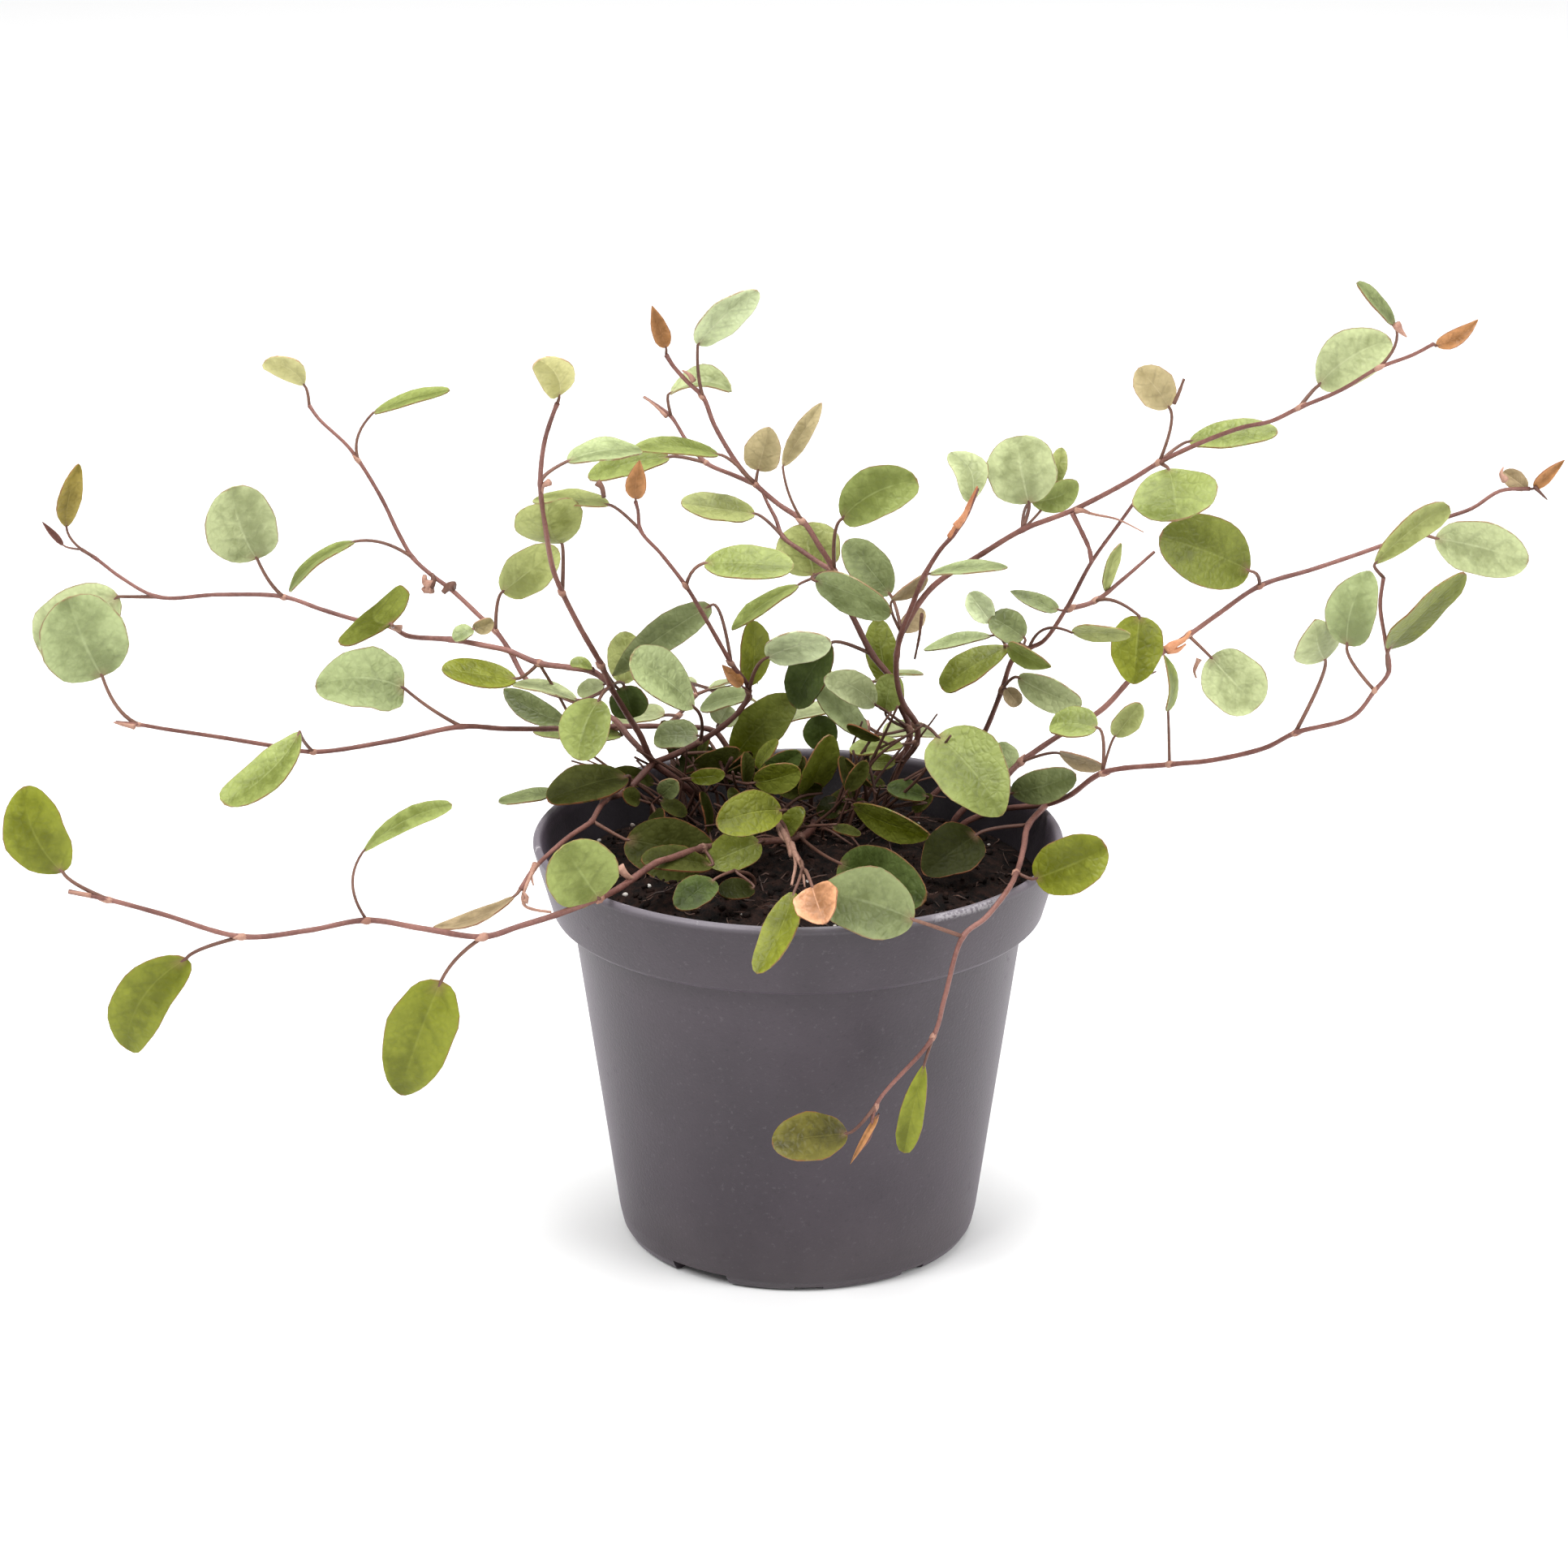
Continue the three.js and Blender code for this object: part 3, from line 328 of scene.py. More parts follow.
class Palette:
    """Every material of the object, each made when it is first asked for.

    The scales are waves or cells to a metre, and the reliefs how deep a bump is, in metres.
    """

    LEAF_DRIFT = 75.0
    LEAF_MOTTLE = 420.0
    LEAF_FINE = 2600.0
    LEAF_QUILT = 620.0
    LEAF_ENDS = 31.0
    LEAF_LIT_HALF = 23.0
    LEAF_VEINS = 21.0
    LEAF_RELIEF = 0.00022
    LEAF_FOOT = (0.42, 0.23, 0.15)

    BARK_DRIFT = 90.0
    BARK_STREAK = 1300.0
    BARK_RELIEF = 0.00025
    BARK_SHADED = (0.045, 0.018, 0.012)

    POT_PEBBLE = 1500.0
    POT_CLOUD = 26.0
    POT_SPECK = 900.0
    POT_RUB = 190.0
    POT_RELIEF = 0.00012
    POT_DEEP = (0.027, 0.0195, 0.026)
    POT_LIGHT = (0.041, 0.0305, 0.039)
    POT_FLECK = (0.09, 0.078, 0.088)
    POT_PIT = (0.018, 0.015, 0.018)
    POT_DUST = (0.11, 0.095, 0.09)
    POT_LIP_HIGHLIGHT = (0.19, 0.17, 0.195)
    POT_WORN_AND_HIGHLIGHT = (0.6, 0.58, 0.59)
    POT_SHADED = (0.008, 0.0065, 0.008)
    POT_SHEEN = (0.86, 0.7, 0.9)

    PEAT_CRUMB = 420.0
    PEAT_PATCH = 70.0
    PEAT_FINE = 2300.0
    PEAT_RELIEF = 0.0008
    PEAT_DEEP = (0.002, 0.0012, 0.001)
    PEAT_LIGHT = (0.022, 0.0095, 0.0065)
    PEAT_DRY = (0.06, 0.025, 0.017)

    GRAIN_PATCH = 260.0
    GRAIN_FINE = 1900.0
    GRAIN_RELIEF = 0.0003

    def __init__(self) -> None:
        """Starts with no material."""
        self.made: dict[Finish, bpy.types.Material] = {}

    def get(self, finish: Finish) -> bpy.types.Material:
        """The material of a finish."""
        if finish not in self.made:
            if isinstance(finish, Look):
                self.made[finish] = self.leaf(finish)
            elif isinstance(finish, Bark):
                self.made[finish] = self.bark(finish)
            else:
                self.made[finish] = getattr(self, finish)()
        return self.made[finish]

    def leaf(self, look: Look) -> bpy.types.Material:
        """A leaf's skin: a shade that drifts, with painted sheen towards its rims and in its lighter shade,
        painted light on one half, a pale midrib, faint veins, a quilted grain with painted shade in its
        creases and a thin red rim.

        Args:
            look: which finish it is.

        Returns:
            The material.
        """
        finish = look.value
        shader = Shader("leaf_" + look.name.lower())
        where = shader.place()
        blade = shader.node("ShaderNodeUVMap", {"uv_map": BLADE_MAP}).outputs["UV"]
        parts = shader.node("ShaderNodeSeparateXYZ", None, {0: blade})
        along, aside = Wire(shader, parts.outputs[0]), Wire(shader, parts.outputs[1])
        side = abs(aside * 2 - 1)
        drift = shader.grain(where, self.LEAF_DRIFT, 2.0)
        mottle = shader.grain(where, self.LEAF_MOTTLE, 4.0, 0.6)
        fine = shader.grain(where, self.LEAF_FINE, 2.0)
        quilt = shader.cells(where, self.LEAF_QUILT).between(0.0, 0.3)
        midrib = (1 - side.between(0.01, 0.055)) * (1 - along.between(0.45, 0.95))
        slant = (along - side * 0.25) * self.LEAF_VEINS
        veins = (slant + mottle * 3.0).sine().between(0.8, 1.0) * (1 - side.between(0.5, 0.9)) * 0.3
        ends = (along * (1 - along) * 4).between(0.0, 0.12)
        edge = side.between(0.95, 1.0).most(1 - ends) * mottle.between(0.3, 0.55)
        foot = (1 - along.between(0.0, 0.16)) * (1 - side.between(0.1, 0.6))
        ends_apart = (along - 0.5) * (shader.grain(where, self.LEAF_ENDS, 1.0) - 0.5) * 3
        # painted light: one half of the blade is lighter and the other darker, the side chosen by a slow
        # noise, like a fold lit from one side
        halves = (aside.between(0.49, 0.51) - 0.5) * (shader.grain(where, self.LEAF_LIT_HALF, 1.0) - 0.5) * 2
        # painted sheen: the tone grows paler towards the rims
        tone = (drift + mottle * 1.2 + side * side * 0.5 + ends_apart + halves - 0.75).between(0.0, 1.0)
        deep = finish.scaled(1 - finish.drift * 1.2, -0.02)
        # painted sheen: the lighter shade has white added, as gloss on the blade
        colour = shader.blend(tone, deep, finish.scaled(1 + finish.drift, 0.03))
        colour = shader.blend(midrib * 0.4, colour, finish.scaled(1.35, 0.07))
        # painted shade: the sunken creases between the quilted cells are darkened
        colour = shader.blend((1 - quilt) * 0.17, colour, finish.scaled(0.6))
        colour = shader.blend(veins, colour, finish.scaled(0.5))
        colour = shader.blend(foot * 0.3, colour, self.LEAF_FOOT)
        colour = shader.blend(edge * 0.8, colour, finish.rim)
        height = midrib * -0.5 + veins * -0.4 + quilt * 0.5 + mottle * 0.8 + fine * 0.12
        normal = shader.bump(height, self.LEAF_RELIEF, 0.6)
        rough = mottle * 0.2 + (finish.roughness - 0.1)
        values = {"Base Color": colour, "Roughness": rough, "Normal": normal}
        values["Specular IOR Level"] = finish.gloss
        surface = shader.skin(values)
        glow = {"Color": finish.scaled(1.45), "Normal": normal}
        through = shader.node("ShaderNodeBsdfTranslucent", None, glow).outputs[0]
        share = finish.translucent * (1 - edge * 0.6)
        mixed = shader.node("ShaderNodeMixShader", None, {0: share, 1: surface, 2: through})
        return shader.close(mixed.outputs[0])

    def bark(self, bark: Bark) -> bpy.types.Material:
        """Bark of a wiry stem: two shades in streaks, with painted shade round the crown's middle near the
        soil, and fine wrinkles.

        Args:
            bark: which finish it is.

        Returns:
            The material.
        """
        finish = bark.value
        shader = Shader("bark_" + bark.name.lower())
        where = shader.place()
        # painted shade: bark within a few centimetres of the crown's middle is darkened, up to 70 % towards a
        # dark brown
        off = shader.wire("ShaderNodeVectorMath", {"operation": "DISTANCE"}, {0: where, 1: CROWN}, "Value")
        inner = 1 - off.between(0.02, 0.07)
        drift = shader.grain(where, self.BARK_DRIFT, 2.0)
        streak = shader.grain(where, self.BARK_STREAK, 4.0, 0.65)
        tone = (drift * 1.5 + streak * 0.9 - 0.7).between(0.0, 1.0)
        colour = shader.blend(tone, finish.deep, finish.light)
        colour = shader.blend(inner * 0.7, colour, self.BARK_SHADED)
        rough = streak * 0.2 + (finish.roughness - 0.1)
        values = {"Base Color": colour, "Roughness": rough, "Specular IOR Level": 0.3}
        values["Normal"] = shader.bump(streak, self.BARK_RELIEF, 0.7)
        return shader.close(shader.skin(values))

    def pot_plastic(self) -> bpy.types.Material:
        """Moulded plastic: dark grey tinted lilac, pebbled, with specks, dust, a worn lip and a scuff that
        both carry a painted highlight, a painted highlight along the top of the lip and painted shade on the
        inner wall.
        """
        shader = Shader("pot_plastic")
        where = shader.place()
        parts = shader.node("ShaderNodeSeparateXYZ", None, {0: where})
        aside, forth, high = (Wire(shader, output) for output in parts.outputs)
        pebble = shader.grain(where, self.POT_PEBBLE, 3.0, 0.6)
        cloud = shader.grain(where, self.POT_CLOUD, 4.0, 0.6)
        speck = shader.grain(where, self.POT_SPECK, 2.0, 0.7)
        rub = shader.grain(where, self.POT_RUB, 4.0, 0.75).between(0.6, 0.74)
        # worn patches on top of the lip: partly wear, partly a painted highlight
        lip_wear_and_highlight = high.between(*LIP_WEAR_AND_HIGHLIGHT) * rub
        level = shader.node("ShaderNodeCombineXYZ", None, {0: aside, 1: forth}).outputs[0]
        across = shader.wire("ShaderNodeVectorMath", {"operation": "LENGTH"}, {0: level}, "Value")
        # painted shade: the inner wall between the soil and the lip is darkened nearly to black
        inner = (1 - (across - high * COLLAR_SLOPE).between(*COLLAR_INSIDE)) * high.between(*INNER_SHADE_FROM)
        inner = inner * (1 - high.between(*INNER_SHADE_TO))
        # a short scuff on the front right of the lip: partly wear, partly a painted highlight
        scuff_and_highlight = aside.between(*SCUFF_AND_HIGHLIGHT_START) * (1 - aside.between(*SCUFF_AND_HIGHLIGHT_END)) * high.between(*SCUFF_AND_HIGHLIGHT_HIGH)
        scuff_and_highlight = scuff_and_highlight * (1 - forth.between(*SCUFF_AND_HIGHLIGHT_FRONT)) * pebble.between(0.4, 0.55)
        scuff_and_highlight = scuff_and_highlight * across.between(*SCUFF_AND_HIGHLIGHT_OUT) * 0.35
        low = 1 - high.between(*SPLASHED)
        colour = shader.blend(cloud.between(0.3, 0.75), self.POT_DEEP, self.POT_LIGHT)
        colour = shader.blend(speck.between(0.6, 0.75) * 0.35, colour, self.POT_FLECK)
        colour = shader.blend((1 - speck.between(0.28, 0.4)) * 0.4, colour, self.POT_PIT)
        colour = shader.blend(low * cloud * 0.35, colour, self.POT_DUST)
        # painted highlight: the whole top of the lip is lightened towards a pale lilac grey
        colour = shader.blend(high.between(*LIP_HIGHLIGHT) * 0.6, colour, self.POT_LIP_HIGHLIGHT)
        # wear and a painted highlight: the worn patches on the lip and the scuff are lightened nearly to
        # white
        colour = shader.blend(lip_wear_and_highlight.most(scuff_and_highlight) * 0.8, colour, self.POT_WORN_AND_HIGHLIGHT)
        # painted shade on the inner wall
        colour = shader.blend(inner * 0.85, colour, self.POT_SHADED)
        matt = cloud * 0.14 + rub * 0.1 + 0.38
        values = {"Base Color": colour, "Roughness": matt, "Specular IOR Level": 0.4}
        values |= {"Sheen Weight": 0.12, "Sheen Roughness": 0.4, "Sheen Tint": self.POT_SHEEN}
        values["Normal"] = shader.bump(pebble, self.POT_RELIEF, 0.6)
        return shader.close(shader.skin(values))

    def peat(self) -> bpy.types.Material:
        """Dark moist peat, with redder and drier crumbs."""
        shader = Shader("peat")
        where = shader.place()
        crumb = shader.grain(where, self.PEAT_CRUMB, 5.0, 0.65)
        patch = shader.grain(where, self.PEAT_PATCH, 3.0)
        fine = shader.grain(where, self.PEAT_FINE, 3.0, 0.6)
        colour = shader.blend(crumb.between(0.35, 0.75), self.PEAT_DEEP, self.PEAT_LIGHT)
        colour = shader.blend(patch.between(0.55, 0.8) * 0.4, colour, self.PEAT_DRY)
        values = {"Base Color": colour, "Roughness": fine * 0.25 + 0.72, "Specular IOR Level": 0.12}
        values["Normal"] = shader.bump(crumb * 0.7 + fine * 0.3, self.PEAT_RELIEF, 0.9)
        return shader.close(shader.skin(values))

    def fibre(self) -> bpy.types.Material:
        """Root and bark fibres, red brown to straw."""
        return self.plain("fibre", (0.015, 0.006, 0.004), (0.09, 0.04, 0.025), 0.75)

    def perlite(self) -> bpy.types.Material:
        """White puffed grains with a little soil on them."""
        return self.plain("perlite", (0.16, 0.12, 0.1), (0.6, 0.57, 0.53), 0.85)

    def plain(self, name: str, deep: Colour, light: Colour, roughness: float) -> bpy.types.Material:
        """A rough grainy finish between two shades.

        Args:
            name: the material's name.
            deep: the darker shade.
            light: the lighter shade.
            roughness: the middle of its roughness.

        Returns:
            The material.
        """
        shader = Shader(name)
        where = shader.place()
        patch = shader.grain(where, self.GRAIN_PATCH, 2.0)
        fine = shader.grain(where, self.GRAIN_FINE, 3.0, 0.6)
        tone = (patch * 1.8 + fine * 0.5 - 0.7).between(0.0, 1.0)
        colour = shader.blend(tone, deep, light)
        rough = fine * 0.2 + (roughness - 0.1)
        normal = shader.bump(fine, self.GRAIN_RELIEF, 0.8)
        return shader.close(shader.skin({"Base Color": colour, "Roughness": rough, "Normal": normal}))


def seen(row: Point) -> Vector:
    """The real place, in millimetres, of a row's point: x and z on the upright plane, then the depth."""
    x, z, y = row
    k = 1 - y / EYE.y
    return Vector((EYE.x + (x - EYE.x) * k, y, EYE.z + (z - EYE.z) * k))


def soil_high(x: float, y: float) -> float:
    """Height of the soil in millimetres, which domes to the middle and is a little lumpy."""
    out = min(1.0, math.hypot(x, y) / SOIL_EDGE_RADIUS)
    wide = 0.7 * math.sin(0.19 * x + 1.3) * math.sin(0.23 * y + 0.4)
    lump = wide + 0.4 * math.sin(0.41 * x - 0.37 * y)
    return SOIL_EDGE_HIGH + SOIL_DOME * (1 - out**2) + lump * (1 - out**4)


def smooth_path(points: list[Vector], step: float) -> tuple[list[Vector], list[int]]:
    """A smooth curve through points, cut into short stretches.

    Args:
        points: the points that it passes, in millimetres.
        step: about how long each stretch is.

    Returns:
        The places along the curve, and which of them are the points themselves.
    """
    count = len(points)
    before = points[0] * 2 - points[1]
    after = points[-1] * 2 - points[-2]
    full = [before, *points, after]
    places: list[Vector] = []
    marks: list[int] = []
    for i in range(1, count):
        p0, p1, p2, p3 = full[i - 1], full[i], full[i + 1], full[i + 2]
        t1 = max(1e-4, (p1 - p0).length) ** 0.5
        t2 = t1 + max(1e-4, (p2 - p1).length) ** 0.5
        t3 = t2 + max(1e-4, (p3 - p2).length) ** 0.5
        pieces = max(1, math.ceil((p2 - p1).length / step))
        marks.append(len(places))
        for j in range(pieces):
            t = t1 + (t2 - t1) * j / pieces
            a1 = p0.lerp(p1, t / t1)
            a2 = p1.lerp(p2, (t - t1) / (t2 - t1))
            a3 = p2.lerp(p3, (t - t2) / (t3 - t2))
            b1 = a1.lerp(a2, t / t2)
            b2 = a2.lerp(a3, (t - t1) / (t3 - t1))
            places.append(b1.lerp(b2, (t - t1) / (t2 - t1)))
    marks.append(len(places))
    places.append(points[-1].copy())
    return places, marks


def ended(bm: bmesh.types.BMesh, name: str) -> bpy.types.Mesh:
    """The mesh that a bmesh makes, which ends here."""
    mesh = bpy.data.meshes.new(name)
    bm.to_mesh(mesh)
    bm.free()
    return mesh


def new_part() -> bmesh.types.BMesh:
    """An empty bmesh with the UV map that blades are painted by."""
    part = bmesh.new()
    part.loops.layers.uv.new(BLADE_MAP)
    return part


def turned(line: Outline, steps: int, rounding: float = 0.0) -> bmesh.types.BMesh:
    """A shape turned round the upright axis.

    Args:
        line: the radius and height of each corner, in millimetres.
        steps: how many steps the turn has.
        rounding: how far its corners are cut back to be rounded, in millimetres.

    Returns:
        The bmesh.
    """
    bm = bmesh.new()
    verts = [bm.verts.new((radius * MM, 0, high * MM)) for radius, high in line]
    for vert, after in zip(verts, verts[1:]):
        bm.edges.new((vert, after))
    if rounding:
        bmesh.ops.bevel(
            bm,
            geom=verts[1:-1],
            affect="VERTICES",
            offset=rounding * MM,
            offset_type="OFFSET",
            segments=3,
            profile=0.5,
            material=-1,
            clamp_overlap=True,
        )
    bmesh.ops.spin(
        bm,
        geom=[*bm.verts, *bm.edges],
        cent=(0, 0, 0),
        axis=(0, 0, 1),
        dvec=(0, 0, 0),
        angle=math.tau,
        steps=steps,
        use_merge=True,
    )
    bmesh.ops.remove_doubles(bm, verts=bm.verts, dist=MERGE_WITHIN)
    bmesh.ops.recalc_face_normals(bm, faces=bm.faces)
    return bm


def finish_piece(
    name: str, mesh: bpy.types.Mesh, slots: list[bpy.types.Material], nodes: tuple[str, ...]
) -> bpy.types.Object:
    """Puts a mesh into the scene as one piece of the object.

    Args:
        name: the piece's name.
        mesh: its mesh, in metres, in place.
        slots: its materials, in order.
        nodes: the solids that it stands for.

    Returns:
        The piece.
    """
    for material in slots:
        mesh.materials.append(material)
    piece = bpy.data.objects.new(name, mesh)
    bpy.context.scene.collection.objects.link(piece)
    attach(piece, "root")
    if nodes:
        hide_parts(*nodes)
    log.info("%s: %d faces", name, len(mesh.polygons))
    return piece


class Growth:
    """A mesh that tubes, blades and grains are added to, each made by itself first."""

    def __init__(self) -> None:
        """Starts an empty mesh."""
        self.bm = new_part()
        self.slots: list[Finish] = []

    def slot(self, finish: Finish) -> int:
        """The number of a finish's material slot, which is added if it isn't there yet."""
        if finish not in self.slots:
            self.slots.append(finish)
        return self.slots.index(finish)

    def add(self, part: bmesh.types.BMesh) -> None:
        """Adds a part, whose own mesh ends here."""
        carrier = ended(part, "part")
        self.bm.from_mesh(carrier)
        bpy.data.meshes.remove(carrier)

    def tube(self, places: list[Vector], radii: list[float], sides: int, finish: Finish) -> None:
        """Adds a closed tube of changing thickness along a path.

        Args:
            places: the middle of each ring, in millimetres.
            radii: the radius of each ring.
            sides: how many sides each ring has.
            finish: what it is made of.
        """
        part = new_part()
        turn = (places[1] - places[0]).to_track_quat("Z", "Y")
        ring = bmesh.ops.create_circle(part, segments=sides, radius=1.0)["verts"]
        edges = part.edges[:]
        bmesh.ops.contextual_create(part, geom=edges)
        stand = Matrix.Identity(4)
        last = len(places) - 1
        for i, (place, radius) in enumerate(zip(places, radii)):
            heading = places[min(i + 1, last)] - places[max(i - 1, 0)]
            turn = (turn @ Vector((0, 0, 1))).rotation_difference(heading) @ turn
            size = Matrix.Diagonal((radius * MM, radius * MM, radius * MM, 1))
            matrix = Matrix.Translation(place * MM) @ turn.to_matrix().to_4x4() @ size
            if i:
                grown = bmesh.ops.extrude_edge_only(part, edges=edges)["geom"]
                ring = [item for item in grown if isinstance(item, bmesh.types.BMVert)]
                rim = set(ring)
                lines = [item for item in grown if isinstance(item, bmesh.types.BMEdge)]
                edges = [edge for edge in lines if rim.issuperset(edge.verts)]
            bmesh.ops.transform(part, matrix=matrix @ stand.inverted(), verts=ring)
            stand = matrix
        bmesh.ops.contextual_create(part, geom=edges)
        self.finish(part, finish)

    def finish(self, part: bmesh.types.BMesh, finish: Finish) -> None:
        """Turns a part's faces outwards, gives them one finish and adds it."""
        bmesh.ops.recalc_face_normals(part, faces=part.faces)
        number = self.slot(finish)
        for face in part.faces:
            face.material_index = number
            face.smooth = True
        self.add(part)

    def piece(self, name: str, palette: Palette, slot: str, nodes: tuple[str, ...] = ()) -> bpy.types.Object:
        """Ends the mesh and puts it into the scene.

        Args:
            name: the piece's name.
            palette: where its materials come from.
            slot: a record slot's name, which is not used.
            nodes: the solids that it stands for.

        Returns:
            The piece.
        """
        slots = [palette.get(finish) for finish in self.slots]
        return finish_piece(name, ended(self.bm, name), slots, nodes)


@dataclass(frozen=True)
class Leaf:
    """One leaf: the stem point that it grows from, its base and tip, its shape and its finish.

    roll turns it about its midrib, in degrees. bend is how far the midrib curves sideways, fold how
    far its halves rise, and arch how far the midrib bows, as shares of its size. form is its outline
    if it isn't the usual one, and by is where its stalk passes if that is curved.
    """

    node: int
    base: Point
    tip: Point
    width: float
    roll: float
    look: Look
    bend: float = 0.0
    fold: float = 0.15
    arch: float = 0.06
    form: Form | None = None
    by: Point | None = None


@dataclass(frozen=True)
class Twig:
    """A leafless shoot, bract or dried tip: its bark, the radii of its ends and the points it passes."""

    bark: Bark
    start: float
    end: float
    route: list[Point]


@dataclass(frozen=True)
class Runner:
    """One stem: its radius, where it stands in the soil, its bark, the points it passes and its leaves."""

    radius: float
    foot: tuple[float, float] | None
    bark: Bark
    route: list[Point]
    leaves: list[Leaf]


class Blade:
    """The surface of one leaf's blade.

    ROUND_FROM and OVAL_FROM are the widths, against the length, from which a leaf is round or oval.
    RIPPLE is how strong the waves of its outline are, RIPPLE_RATE how fast they are against those of
    its surface, SIDES_APART how far the two rims differ, and ASIDE_TURN how the waves run across.
    WAVE_RATES and WAVE_HIGH are the ranges of how fast the waves are and how high, against the width,
    and CURLS that of how far the tip curls, from CURL_FROM of the length on. FOLD_MIDDLE and FOLD_POWER
    shape the fold along the midrib.
    """

    ROUND_FROM = 0.72
    OVAL_FROM = 0.42
    FOLD_MIDDLE = 0.4
    FOLD_POWER = 1.3
    RIPPLE = 0.016
    RIPPLE_RATE = 1.6
    SIDES_APART = 2.1
    ASIDE_TURN = 1.4
    CURL_FROM = 0.7
    WAVES = 3
    WAVE_RATES = (2.0, 5.5)
    WAVE_HIGH = (0.008, 0.018)
    CURLS = (-0.05, 0.09)

    def __init__(self, leaf: Leaf, outward: bool, chance: random.Random) -> None:
        """Works out the blade's frame.

        Args:
            leaf: the leaf.
            outward: whether its upper side turns away from the viewing point.
            chance: where its small irregularities come from.
        """
        self.leaf = leaf
        self.base, self.tip = seen(leaf.base), seen(leaf.tip)
        self.length = (self.tip - self.base).length
        self.along = (self.tip - self.base).normalized()
        view = EYE - (self.base + self.tip) / 2
        facing = (view - self.along * view.dot(self.along)).normalized()
        side = facing.cross(self.along)
        roll = math.radians(leaf.roll)
        self.across = side * math.cos(roll) + facing * math.sin(roll)
        self.out = facing * math.cos(roll) - side * math.sin(roll)
        self.outward = outward
        ratio = leaf.width / self.length
        usual = Form.ROUND if ratio > self.ROUND_FROM else Form.OVAL if ratio > self.OVAL_FROM else Form.LENS
        self.swell, self.taper = (leaf.form or usual).value
        broadest = self.swell / (self.swell + self.taper)
        self.most = broadest**self.swell * (1 - broadest) ** self.taper
        self.waves = [
            (chance.uniform(*self.WAVE_RATES), chance.uniform(0, math.tau)) for _ in range(self.WAVES)
        ]
        self.wavy = chance.uniform(*self.WAVE_HIGH)
        self.curl = chance.uniform(*self.CURLS)

    def at(self, share: float, aside: float) -> Vector:
        """A point of the blade's middle surface.

        Args:
            share: how far from the base to the tip, 0 to 1.
            aside: how far from the midrib, -1 to 1 at the rims of the widest place.

        Returns:
            The place, in millimetres.
        """
        leaf = self.leaf
        bulge = self.length * 4 * share * (1 - share)
        folded = abs(aside) ** self.FOLD_POWER - self.FOLD_MIDDLE
        lift = leaf.arch * bulge + leaf.fold * leaf.width / 2 * folded
        sideways = leaf.width / 2 * aside + leaf.bend * bulge
        return self.base + self.along * self.length * share + self.across * sideways + self.out * lift

    def rim(self, turn: float, aside: float) -> Vector:
        """A point of the blade by its row across, with waves towards the rim.

        Args:
            turn: the row's angle round the rim, 0 at the base and pi at the tip.
            aside: how far across the row, -1 to 1.

        Returns:
            The place, in millimetres.
        """
        share = min(1.0, max(0.0, (1 - math.cos(turn)) / 2))
        half = share**self.swell * (1 - share) ** self.taper / self.most
        apart = (aside > 0) * self.SIDES_APART
        ripple = sum(
            math.sin(rate * self.RIPPLE_RATE * turn + phase * 2 + apart) for rate, phase in self.waves
        )
        point = self.at(share, half * aside * (1 + self.RIPPLE * ripple))
        wave = sum(math.sin(rate * turn + phase + aside * self.ASIDE_TURN) for rate, phase in self.waves)
        lift = self.wavy * self.leaf.width * wave * half * aside**2
        lift += self.curl * self.length * max(0.0, share - self.CURL_FROM) ** 2 * 4
        return point + self.out * lift

    def grow(self, into: Growth, rows: int, columns: int, thick: float) -> None:
        """Adds the blade as a thin closed skin, with its upper side, its underside and a rim.

        Args:
            into: the mesh that it is added to.
            rows: how many faces there are from base to tip.
            columns: how many there are across.
            thick: its thickness in millimetres.
        """
        part = new_part()
        layer = part.loops.layers.uv[BLADE_MAP]
        bmesh.ops.create_grid(part, x_segments=rows, y_segments=columns, size=1.0)
        spots = {vert: (vert.co.x / 2 + 0.5, vert.co.y) for vert in part.verts}
        for face in part.faces:
            for loop in face.loops:
                share, aside = spots[loop.vert]
                loop[layer].uv = ((1 - math.cos(math.pi * share)) / 2, aside / 2 + 0.5)
        for vert, (share, aside) in spots.items():
            vert.co = self.rim(math.pi * share, aside) * MM
        bmesh.ops.remove_doubles(part, verts=part.verts, dist=MERGE_WITHIN / 10)
        upper = set(part.faces)
        middle = part.faces[:][len(upper) // 2]
        if (middle.normal.dot(self.out) > 0) == self.outward:
            bmesh.ops.reverse_faces(part, faces=part.faces)
        bmesh.ops.solidify(part, geom=list(upper), thickness=thick * MM)
        top, under = into.slot(self.leaf.look), into.slot(Look.UNDER)
        for face in part.faces:
            face.smooth = True
            near = any(
                other in upper for edge in face.edges for other in edge.link_faces if other is not face
            )
            face.material_index = top if face in upper or near else under
            if near and face not in upper:
                for edge in face.edges:
                    edge.smooth = False
        into.add(part)


